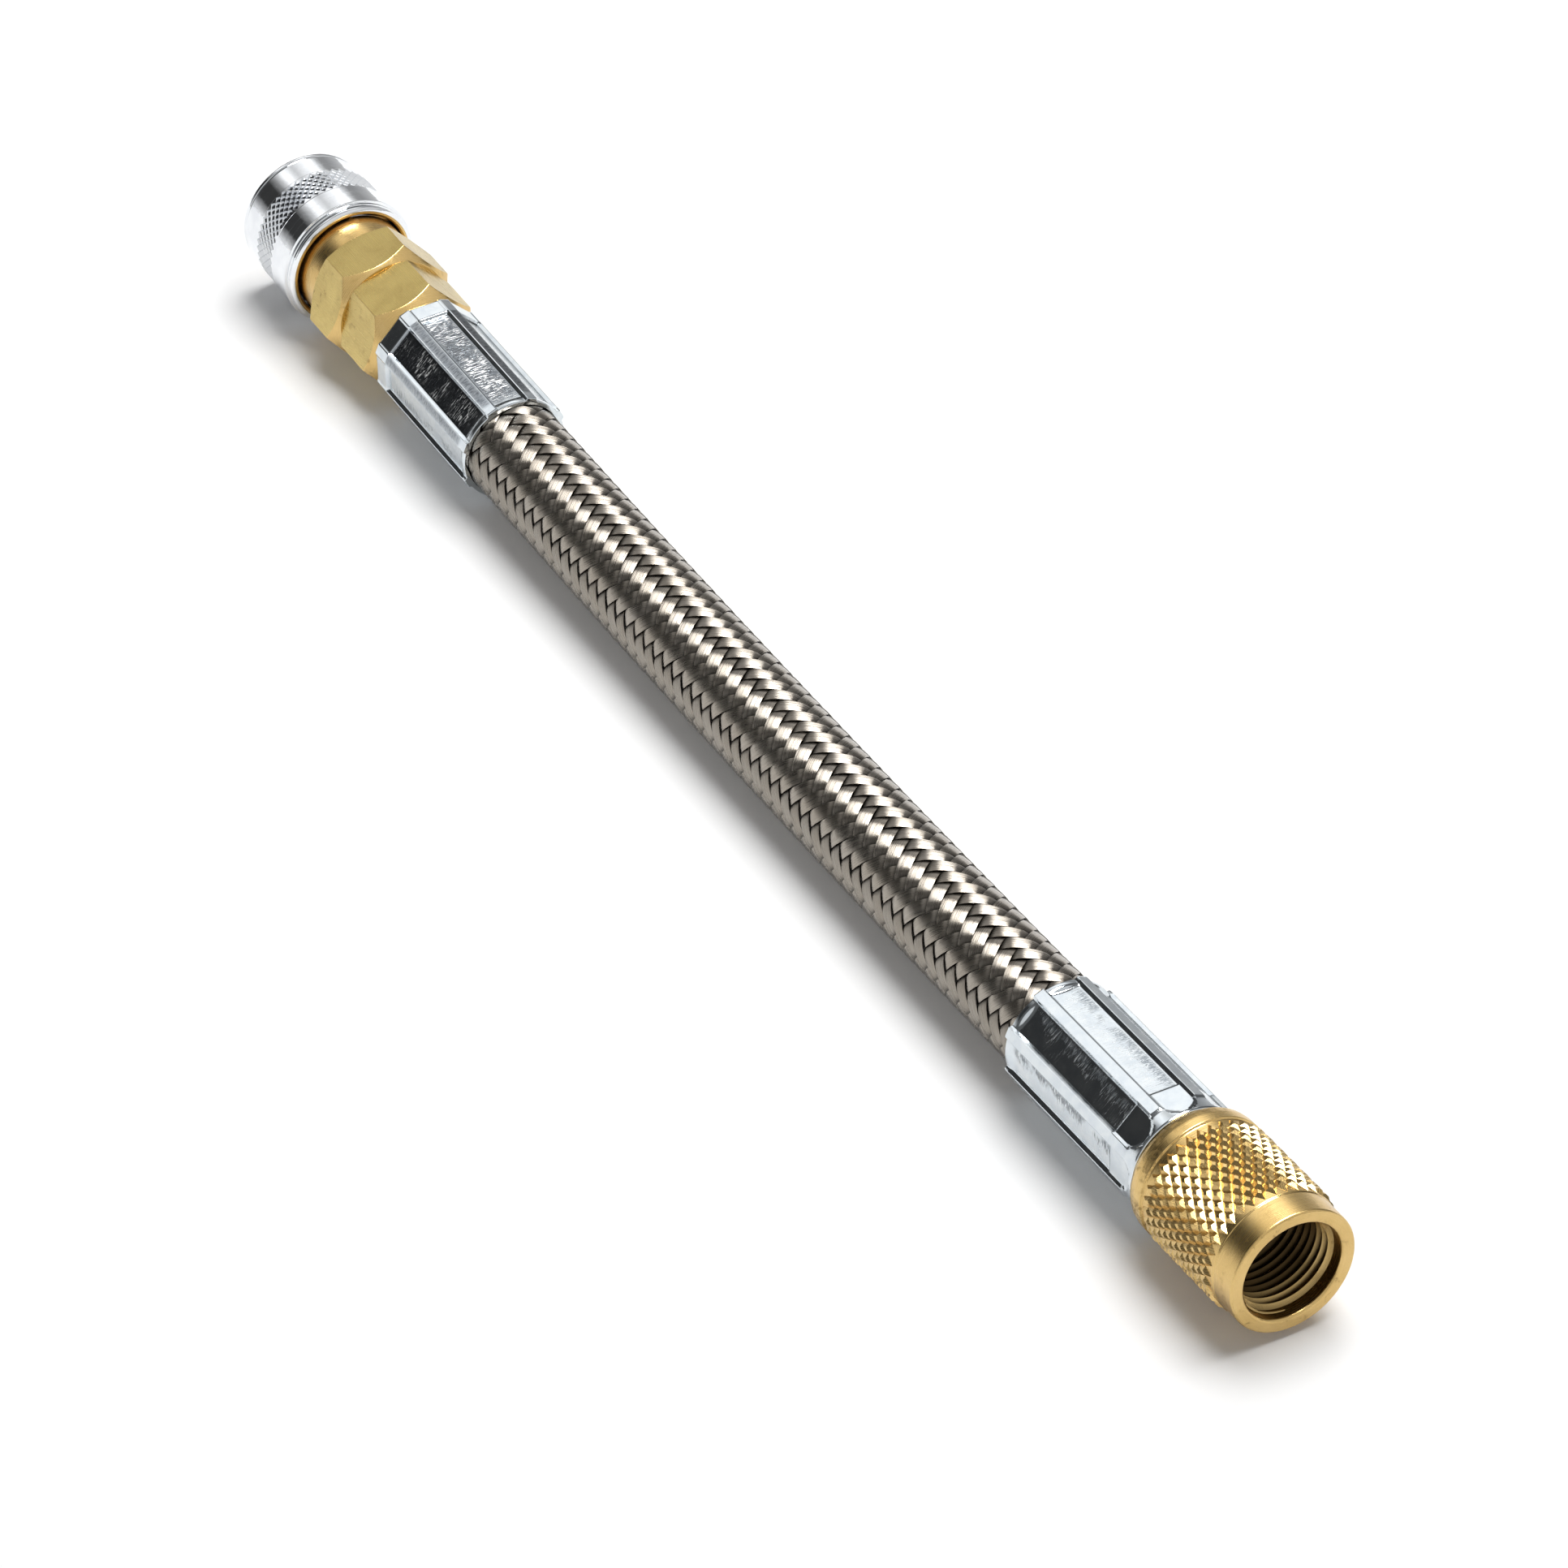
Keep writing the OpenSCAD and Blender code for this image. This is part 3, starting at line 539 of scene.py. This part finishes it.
def eased_hexagon(node, name, z_range, least_r):
    """A copy of a machined solid with the edges of its hexagon broken by a small bevel."""
    source = frame["nodes"][node]
    obj = bpy.data.objects.new(name, source.data.copy())
    bpy.context.scene.collection.objects.link(obj)
    obj.data.materials.clear()
    obj.data.name = name
    obj.data.transform(coupler_end.inverted())
    if obj.data.has_custom_normals:
        bpy.ops.object.select_all(action="DESELECT")
        obj.select_set(True)
        bpy.context.view_layer.objects.active = obj
        bpy.ops.mesh.customdata_custom_splitnormals_clear()
    choose(obj, np.ones(len(obj.data.vertices), bool))
    bpy.ops.mesh.remove_doubles(threshold=0.001 * MM)
    bpy.ops.mesh.dissolve_limited(angle_limit=math.radians(0.6))
    bpy.ops.object.mode_set(mode="OBJECT")
    co = places(obj)
    normal = {}
    for p in obj.data.polygons:
        for key in p.edge_keys:
            normal.setdefault(key, []).append(p.normal.copy())
    picked = []
    for e in obj.data.edges:
        key = tuple(sorted(e.vertices))
        sides = normal.get(key, [])
        middle = (co[e.vertices[0]] + co[e.vertices[1]]) / 2 / MM
        sharp = len(sides) == 2 and sides[0].angle(sides[1], 0) > math.radians(14)
        here = z_range[0] <= middle[2] <= z_range[1] and math.hypot(middle[0], middle[1]) > least_r
        picked.append(sharp and here)
    choose(obj, picked, "EDGE")
    bpy.ops.mesh.bevel(offset=HEX_EDGE * MM, segments=3, profile=0.5, clamp_overlap=True,
                       affect="EDGES")
    bpy.ops.object.mode_set(mode="OBJECT")
    flats = [abs(p.normal.z) < 0.02 and p.area > 20 * MM * MM for p in obj.data.polygons]
    keep_value(obj, "drawn", flats, "FACE")
    obj.matrix_world = coupler_end
    return finish_piece(obj, "root", "brass", node, smooth=28)


stem_hex = eased_hexagon("coupler_stem", "coupler_stem_hexagon", z_range=(31.5, 42.7), least_r=7.2)
body_hex = eased_hexagon("coupler_body", "coupler_body_hexagon", z_range=(42.5, 58.2), least_r=8.4)


# ---------------------------------------------------------------- finishes
class Finish:
    """A metal or rubber finish, with the few node chains that the pieces share."""

    def __init__(self, name, color, metallic, roughness):
        self.material = bpy.data.materials.new(name)
        self.material.use_nodes = True
        self.tree = self.material.node_tree
        self.shader = self.tree.nodes["Principled BSDF"]
        self.shader.inputs["Base Color"].default_value = (*color, 1)
        self.shader.inputs["Metallic"].default_value = metallic
        self.shader.inputs["Roughness"].default_value = roughness

    def add(self, kind, **values):
        made = self.tree.nodes.new(kind)
        for key, value in values.items():
            if key in made.inputs:
                self.feed(made.inputs[key], value)
            else:
                setattr(made, key, value)
        return made

    def feed(self, socket, value):
        if isinstance(value, bpy.types.NodeSocket):
            self.tree.links.new(value, socket)
        else:
            socket.default_value = value

    def math(self, operation, a, b=0.0, clamp=False):
        made = self.add("ShaderNodeMath", operation=operation, use_clamp=clamp)
        self.feed(made.inputs[0], a)
        self.feed(made.inputs[1], b)
        return made.outputs[0]

    def span(self, value, low, high, to_low=0.0, to_high=1.0):
        made = self.add("ShaderNodeMapRange", interpolation_type="SMOOTHSTEP")
        ends = (("From Min", low), ("From Max", high), ("To Min", to_low), ("To Max", to_high))
        for key, number in (("Value", value),) + ends:
            self.feed(made.inputs[key], number)
        return made.outputs["Result"]

    def noise(self, scale, detail=2.0, roughness=0.5, distortion=0.0, vector=None, w=None):
        made = self.add("ShaderNodeTexNoise", noise_dimensions="3D" if w is None else "1D")
        made.inputs["Scale"].default_value = scale
        made.inputs["Detail"].default_value = detail
        made.inputs["Roughness"].default_value = roughness
        made.inputs["Distortion"].default_value = distortion
        if w is not None:
            self.feed(made.inputs["W"], w)
        elif vector is not None:
            self.feed(made.inputs["Vector"], vector)
        return made.outputs[0]

    def tint(self, factor, first, second):
        made = self.add("ShaderNodeMix", data_type="RGBA")
        self.feed(made.inputs["Factor"], factor)
        for socket, color in ((made.inputs[6], first), (made.inputs[7], second)):
            self.feed(socket, color if isinstance(color, bpy.types.NodeSocket) else (*color, 1))
        return made.outputs[2]

    def place(self, end=None):
        """Object coordinates in metres, turned so that Z runs along an end's own axis."""
        coord = self.add("ShaderNodeTexCoord").outputs["Object"]
        if end is None:
            return coord
        back = end.inverted()
        turned = self.add("ShaderNodeMapping", Vector=coord, Location=back.translation,
                          Rotation=back.to_euler("XYZ"))
        return turned.outputs[0]

    def turning(self, vector):
        """A length that grows along the axis and outwards, so a line of it runs round the piece."""
        split = self.add("ShaderNodeSeparateXYZ", Vector=vector)
        across = self.math("MULTIPLY", split.outputs[0], split.outputs[0])
        across = self.math("ADD", across, self.math("MULTIPLY", split.outputs[1], split.outputs[1]))
        radius = self.math("SQRT", across)
        axial = split.outputs[2]
        return self.math("ADD", axial, self.math("MULTIPLY", radius, 1.7)), axial

    def kept(self, name):
        """A number that keep_value left on the mesh."""
        return self.add("ShaderNodeAttribute", attribute_name=name).outputs["Fac"]

    def uv(self, scale, turn_deg=0.0):
        coord = self.add("ShaderNodeTexCoord").outputs["UV"]
        return self.add("ShaderNodeMapping", Vector=coord, Scale=scale,
                        Rotation=(0, 0, math.radians(turn_deg))).outputs[0]

    def bump(self, height, depth, below=None):
        made = self.add("ShaderNodeBump", Height=height, Distance=depth)
        if below is not None:
            self.feed(made.inputs["Normal"], below)
        self.feed(self.shader.inputs["Normal"], made.outputs[0])
        return made.outputs[0]

    def set(self, socket, value):
        self.feed(self.shader.inputs[socket], value)


BRASS_PALE, BRASS_DEEP, BRASS_DULL = (0.68, 0.48, 0.20), (0.60, 0.41, 0.155), (0.20, 0.13, 0.05)
DRAWN_PALE, DRAWN_DEEP = (0.55, 0.42, 0.155), (0.48, 0.36, 0.13)
BORE_SHADE_COLOR = (0.02, 0.01, 0.004)


def brass(name, end, tarnish_to=None):
    """Satin turned brass: fine lines round the axis, cloudy colour, dull spots on a bare band."""
    f = Finish(name, BRASS_PALE, 1.0, 0.24)
    at = f.place(end)
    line, axial = f.turning(at)
    fine = f.noise(9000, 3, 0.6, w=line)
    drawn = f.kept("drawn")
    drawn_out = f.add("ShaderNodeMapping", Vector=at, Scale=(700, 700, 18)).outputs[0]
    along = f.span(f.noise(5, 3, 0.6, vector=drawn_out), 0.0, 1.0, 0.41, 0.59)
    round_it = f.math("MULTIPLY", fine, f.math("SUBTRACT", 1.0, drawn))
    fine = f.math("ADD", round_it, f.math("MULTIPLY", along, drawn))
    cloud = f.noise(190, 3, 0.55, 0.4, vector=at)
    spots = f.noise(750, 4, 0.62, 0.5, vector=at)
    dull = f.math("MULTIPLY", f.span(spots, 0.55, 0.72), f.span(cloud, 0.42, 0.7))
    if tarnish_to is not None:
        band = f.span(axial, tarnish_to, tarnish_to + 0.8 * MM, 1.0, 0.0)
        stain = f.math("MULTIPLY", f.span(spots, 0.46, 0.6), f.span(cloud, 0.44, 0.6))
        dull = f.math("MAXIMUM", dull, f.math("MULTIPLY", stain, band))
    color = f.tint(f.span(cloud, 0.3, 0.75), BRASS_PALE, BRASS_DEEP)
    color = f.tint(drawn, color, f.tint(f.span(cloud, 0.35, 0.65), DRAWN_PALE, DRAWN_DEEP))
    color = f.tint(f.math("MULTIPLY", dull, 0.6), color, BRASS_DULL)
    bore = f.kept("bore")
    # Painted shade: the base colour goes nearly black inside the nut's bore.
    f.set("Base Color", f.tint(f.math("MULTIPLY", bore, 0.95), color, BORE_SHADE_COLOR))
    rough = f.math("ADD", f.span(fine, 0.25, 0.75, 0.2, 0.34), f.math("MULTIPLY", dull, 0.22))
    f.set("Roughness", rough)
    f.bump(spots, 0.000006, f.bump(fine, 0.000004))
    return f.material


def zinc(name):
    """Blue-bright zinc, scuffed across the flats and the rib tops where the jaws pressed it, with a painted dark
    reflection on one side.
    """
    f = Finish(name, (0.63, 0.68, 0.72), 1.0, 0.14)
    jaw = f.kept("jaw")
    at = f.place()
    scuff_and_dark_side = f.kept("scuff_and_dark_side")
    side = f.kept("side")
    streak = f.noise(1.0, 4, 0.6, 0.5, vector=f.uv((0.6, 4.2, 1), 14))
    fleck = f.noise(2.2, 3, 0.6, 0.3, vector=f.uv((0.5, 1.6, 1), -25))
    patch = f.noise(210, 2, 0.5, vector=at)
    scratch = f.math("MULTIPLY", f.span(streak, 0.54, 0.6), f.span(patch, 0.36, 0.52))
    scratch = f.math("MAXIMUM", scratch, f.math("MULTIPLY", f.span(fleck, 0.6, 0.68), 0.4))
    cloud = f.noise(420, 3, 0.55, 0.3, vector=at)
    clean = f.tint(f.span(cloud, 0.3, 0.7), (0.60, 0.65, 0.69), (0.70, 0.74, 0.76))
    # Painted dark reflection: on that side the base colour goes nearly black, broken by flecks.
    painted_dark = f.math("MULTIPLY", scuff_and_dark_side, f.span(fleck, 0.35, 0.6, 1.0, 0.72))
    feather = f.math("ADD", streak, f.span(side, 0.22, 0.7, 0.13, -0.14))
    smudge = f.math("MULTIPLY", jaw, f.span(feather, 0.52, 0.6))
    smudge = f.math("MULTIPLY", smudge, f.span(patch, 0.36, 0.5))
    smudge = f.math("MULTIPLY", smudge, f.math("SUBTRACT", 1.0, scuff_and_dark_side))
    color = f.tint(f.math("MULTIPLY", smudge, 0.85), clean, (0.12, 0.14, 0.16))
    color = f.tint(painted_dark, color, (0.10, 0.11, 0.125))
    rubbed = f.math("MAXIMUM", f.math("MULTIPLY", scuff_and_dark_side, jaw), f.math("MULTIPLY", jaw, 0.3))
    shown = f.math("MULTIPLY", scratch, rubbed)
    f.set("Base Color", f.tint(shown, color, (0.88, 0.88, 0.87)))
    rough = f.math("ADD", f.span(cloud, 0.3, 0.7, 0.08, 0.14), f.math("MULTIPLY", shown, 0.42))
    f.set("Roughness", f.math("ADD", rough, f.math("MULTIPLY", smudge, 0.25)))
    pressed = f.math("MULTIPLY", jaw, f.math("MAXIMUM", scuff_and_dark_side, 0.3))
    f.bump(f.math("MULTIPLY", streak, pressed), 0.00006, f.bump(cloud, 0.000012))
    return f.material


def bright_plating(name, end):
    """Mirror-bright plating over a turned surface, with painted shade in the knurl's sunk diamonds."""
    f = Finish(name, (0.80, 0.82, 0.84), 1.0, 0.08)
    at = f.place(end)
    line, _ = f.turning(at)
    fine = f.noise(5200, 3, 0.6, w=line)
    rings = f.noise(1500, 2, 0.6, w=line)
    cloud = f.noise(260, 3, 0.55, 0.3, vector=at)
    color = f.tint(f.span(cloud, 0.3, 0.7), (0.77, 0.79, 0.82), (0.84, 0.86, 0.88))
    pit = f.kept("pit")
    # Painted shade: the knurl's sunk diamonds get a nearly black base colour.
    f.set("Base Color", f.tint(f.math("MULTIPLY", pit, 0.95), color, (0.02, 0.022, 0.025)))
    rough = f.math("ADD", f.span(fine, 0.3, 0.7, 0.04, 0.11), f.span(rings, 0.5, 0.75, 0.0, 0.1))
    f.set("Roughness", f.math("ADD", rough, f.math("MULTIPLY", pit, 0.2)))
    f.bump(cloud, 0.00004, f.bump(rings, 0.000008))
    return f.material


def flat_wire(name):
    """Stainless strip: drawn lines along it, a little colour, painted shade where it dips under."""
    f = Finish(name, (0.58, 0.53, 0.46), 1.0, 0.2)
    dip = f.kept("dip")
    lines = f.noise(9, 3, 0.6, vector=f.uv((1, 0.035, 1)))
    shade = f.noise(1.0, 2, 0.5, vector=f.uv((0.2, 0.6, 1)))
    color = f.tint(f.span(lines, 0.32, 0.68), (0.30, 0.272, 0.236), (0.39, 0.356, 0.312))
    color = f.tint(f.span(shade, 0.35, 0.65, 0, 0.35), color, (0.28, 0.24, 0.19))
    # Painted shade: the strip goes nearly black where it dips under the other strips.
    f.set("Base Color", f.tint(f.span(dip, 0.08, 0.6, 0, 0.95), color, (0.015, 0.014, 0.012)))
    f.set("Roughness", f.span(lines, 0.3, 0.7, 0.25, 0.32))
    f.set("Anisotropic", 1.0)
    tangent = f.add("ShaderNodeTangent", direction_type="UV_MAP", uv_map="UVMap")
    f.set("Tangent", tangent.outputs["Tangent"])
    f.bump(lines, 0.00002)
    return f.material


def hard_steel(name):
    """Bright hardened steel with a fine even grain."""
    f = Finish(name, (0.56, 0.56, 0.57), 1.0, 0.2)
    at = f.place()
    grain = f.noise(2600, 3, 0.6, vector=at)
    f.set("Base Color", f.tint(f.span(grain, 0.3, 0.7), (0.52, 0.52, 0.53), (0.61, 0.60, 0.60)))
    f.set("Roughness", f.span(grain, 0.3, 0.7, 0.13, 0.27))
    f.bump(grain, 0.000004)
    return f.material


def black_rubber(name):
    """Matt black rubber."""
    f = Finish(name, (0.018, 0.018, 0.019), 0.0, 0.55)
    at = f.place()
    grain = f.noise(3200, 4, 0.65, vector=at)
    shade = f.tint(f.span(grain, 0.3, 0.7), (0.012, 0.012, 0.013), (0.028, 0.027, 0.027))
    f.set("Base Color", shade)
    f.set("Roughness", f.span(grain, 0.3, 0.7, 0.45, 0.68))
    f.bump(grain, 0.00002)
    return f.material


braid_finish = flat_wire("braid_steel")
zinc_finish = zinc("ferrule_zinc")
coupler_brass = brass("coupler_brass", coupler_end)
nut_brass = brass("nut_brass", nut_end, tarnish_to=38.6 * MM)
chrome_finish = bright_plating("sleeve_plating", coupler_end)
steel_finish = hard_steel("spring_steel")
rubber_finish = black_rubber("black_rubber")

for piece, finish in ((braid_right, braid_finish), (braid_left, braid_finish), (nut, nut_brass),
                      (sleeve, chrome_finish), (ferrule_a, zinc_finish), (ferrule_b, zinc_finish),
                      (stem_hex, coupler_brass), (body_hex, coupler_brass)):
    piece.data.materials.clear()
    piece.data.materials.append(finish)
NODE_FINISH = {
    "inner_tube": rubber_finish, "braid_jacket": braid_finish, "coupler_ferrule": zinc_finish,
    "nut_ferrule": zinc_finish, "coupler_stem": coupler_brass, "coupler_body": coupler_brass,
    "coupler_barrel": coupler_brass, "barrel_gasket": rubber_finish, "plug_seal": rubber_finish,
    "stop_ring": steel_finish, "valve_poppet": coupler_brass, "valve_washer": rubber_finish,
    "valve_spring": steel_finish, "lock_sleeve": chrome_finish, "sleeve_guide_ring": coupler_brass,
    "sleeve_spring": steel_finish, "nut_stem": nut_brass, "swivel_nut": nut_brass,
}
for i in range(1, 7):
    NODE_FINISH["lock_ball_%d" % i] = steel_finish
for node_name, finish in NODE_FINISH.items():
    for slot in frame["nodes"][node_name].material_slots:
        slot.material = finish


# ---------------------------------------------------------------- floor, world and lamps
bpy.context.scene.view_settings.view_transform = "Standard"

bpy.ops.object.select_all(action="DESELECT")
bpy.ops.mesh.primitive_plane_add(size=6, location=(0, 0, 0))
floor = bpy.context.object
floor.name = "floor"
FLOOR_GLOW = 0.08
FLOOR_FADE_FROM = 0.25        # metres from the middle, beyond which the floor glows more
FLOOR_FADE = 0.37             # glow gained with each metre
ground = Finish("floor_white", (0.94, 0.94, 0.94), 0.0, 1.0)
ground.shader.inputs["Specular IOR Level"].default_value = 0
rays = ground.add("ShaderNodeLightPath")
seen = ground.math("MAXIMUM", rays.outputs["Is Camera Ray"], rays.outputs["Is Glossy Ray"])
seen = ground.math("MAXIMUM", seen, rays.outputs["Is Transmission Ray"])
ground.set("Emission Color", (1, 1, 1, 1))
from_middle = ground.add("ShaderNodeVectorMath", operation="LENGTH", Vector=ground.place())
beyond = ground.math("SUBTRACT", from_middle.outputs["Value"], FLOOR_FADE_FROM)
far = ground.math("MULTIPLY", beyond, FLOOR_FADE, clamp=True)
ground.set("Emission Strength", ground.math("MULTIPLY", seen, ground.math("ADD", far, FLOOR_GLOW)))
floor.data.materials.append(ground.material)

world = bpy.data.worlds.new("studio")
bpy.context.scene.world = world
world.use_nodes = True
wn, wl = world.node_tree.nodes, world.node_tree.links
wn.clear()


def sky(kind, **values):
    """A node of the world's tree."""
    made = wn.new(kind)
    for key, value in values.items():
        setattr(made, key, value)
    return made


def level_ramp(levels, position):
    """Brightness by angle round the hose, from the far side (0) over the top to the near side."""
    bands = sky("ShaderNodeValToRGB")
    ramp = bands.color_ramp
    while len(ramp.elements) < len(levels):
        ramp.elements.new(0.5)
    for element, (deg, bright) in zip(ramp.elements, levels):
        element.position = deg / 180
        element.color = (bright, bright, bright, 1)
    wl.new(position, bands.inputs[0])
    return bands.outputs[0]


split = sky("ShaderNodeSeparateXYZ")
wl.new(sky("ShaderNodeTexCoord").outputs["Generated"], split.inputs[0])
turn = sky("ShaderNodeMath", operation="ARCTAN2")
wl.new(split.outputs["Z"], turn.inputs[0])
wl.new(split.outputs["Y"], turn.inputs[1])
half_turns = sky("ShaderNodeMath", operation="DIVIDE")
wl.new(turn.outputs[0], half_turns.inputs[0])
half_turns.inputs[1].default_value = math.pi


def between(socket, low, high, start=0.0, end=1.0):
    """A soft step of the world's brightness along one direction."""
    made = sky("ShaderNodeMapRange", interpolation_type="SMOOTHSTEP")
    for key, number in (("From Min", low), ("From Max", high), ("To Min", start), ("To Max", end)):
        made.inputs[key].default_value = number
    wl.new(socket, made.inputs["Value"])
    return made.outputs["Result"]


def combine(operation, first, second):
    """The sum, product and so on of two levels."""
    made = sky("ShaderNodeMath", operation=operation)
    wl.new(first, made.inputs[0])
    wl.new(second, made.inputs[1])
    return made.outputs[0]


# Along the hose: a striped card towards the coupler's end, and a plainer wall towards the nut's
CARD_START, CARD_END, WALL_START = (-0.86, -0.79), (-0.55, -0.45), (0.1, 0.3)
CARD_LEVELS = [(0, 0.58), (14, 0.45), (28, 0.32), (38, 0.32), (47, 0.75), (53, 1.4), (64, 1.3),
               (76, 1.0), (87, 0.72), (95, 1.0), (102, 1.4), (108, 1.2), (114, 0.7), (122, 0.3),
               (133, 0.04), (160, 0.04), (170, 0.4), (178, 0.8)]
WALL_LEVELS = [(0, 0.5), (30, 0.8), (140, 0.8), (178, 0.6)]
PAST_CARD, GAP = 0.09, 0.13
FILL = 0.16

x_way = split.outputs["X"]
card = level_ramp(CARD_LEVELS, half_turns.outputs[0])
wall = level_ramp(WALL_LEVELS, half_turns.outputs[0])
on_card = combine("MULTIPLY", between(x_way, *CARD_START), between(x_way, *CARD_END, 1.0, 0.0))
card = combine("MULTIPLY", card, on_card)
past_card = combine("MULTIPLY", between(x_way, *CARD_START, PAST_CARD, 0.0),
                    between(x_way, *CARD_END, 1.0, 0.0))
gap = combine("MULTIPLY", between(x_way, *CARD_END, 0.0, GAP),
              between(x_way, *WALL_START, 1.0, 0.0))
level_here = combine("ADD", combine("ADD", card, past_card), gap)
level_here = combine("ADD", level_here, combine("MULTIPLY", wall, between(x_way, *WALL_START)))

shade = sky("ShaderNodeBackground")
shade.inputs["Strength"].default_value = FILL
mirror = sky("ShaderNodeBackground")
wl.new(level_here, mirror.inputs["Strength"])
white = sky("ShaderNodeBackground")
for plain in (shade, mirror, white):
    plain.inputs["Color"].default_value = (1, 1, 1, 1)
path = sky("ShaderNodeLightPath")
mix_mirror = sky("ShaderNodeMixShader")
wl.new(path.outputs["Is Glossy Ray"], mix_mirror.inputs[0])
wl.new(shade.outputs[0], mix_mirror.inputs[1])
wl.new(mirror.outputs[0], mix_mirror.inputs[2])
either = sky("ShaderNodeMath", operation="MAXIMUM")
wl.new(path.outputs["Is Camera Ray"], either.inputs[0])
wl.new(path.outputs["Is Transmission Ray"], either.inputs[1])
mix_white = sky("ShaderNodeMixShader")
wl.new(either.outputs[0], mix_white.inputs[0])
wl.new(mix_mirror.outputs[0], mix_white.inputs[1])
wl.new(white.outputs[0], mix_white.inputs[2])
wl.new(mix_white.outputs[0], sky("ShaderNodeOutputWorld").inputs["Surface"])


def softbox(name, place, size, watts):
    data = bpy.data.lights.new(name, "AREA")
    data.shape = "RECTANGLE"
    data.size, data.size_y = size
    data.energy = watts
    lamp = bpy.data.objects.new(name, data)
    bpy.context.scene.collection.objects.link(lamp)
    lamp.location = place
    lamp.rotation_euler = (-lamp.location).to_track_quat("-Z", "Y").to_euler()
    return lamp


softbox("key", (-0.16, 0.45, 1.58), (1.25, 1.15), 31).visible_glossy = False
softbox("overhead_strip", (-0.066, 0.17, 1.08), (0.55, 0.5), 26).visible_diffuse = False
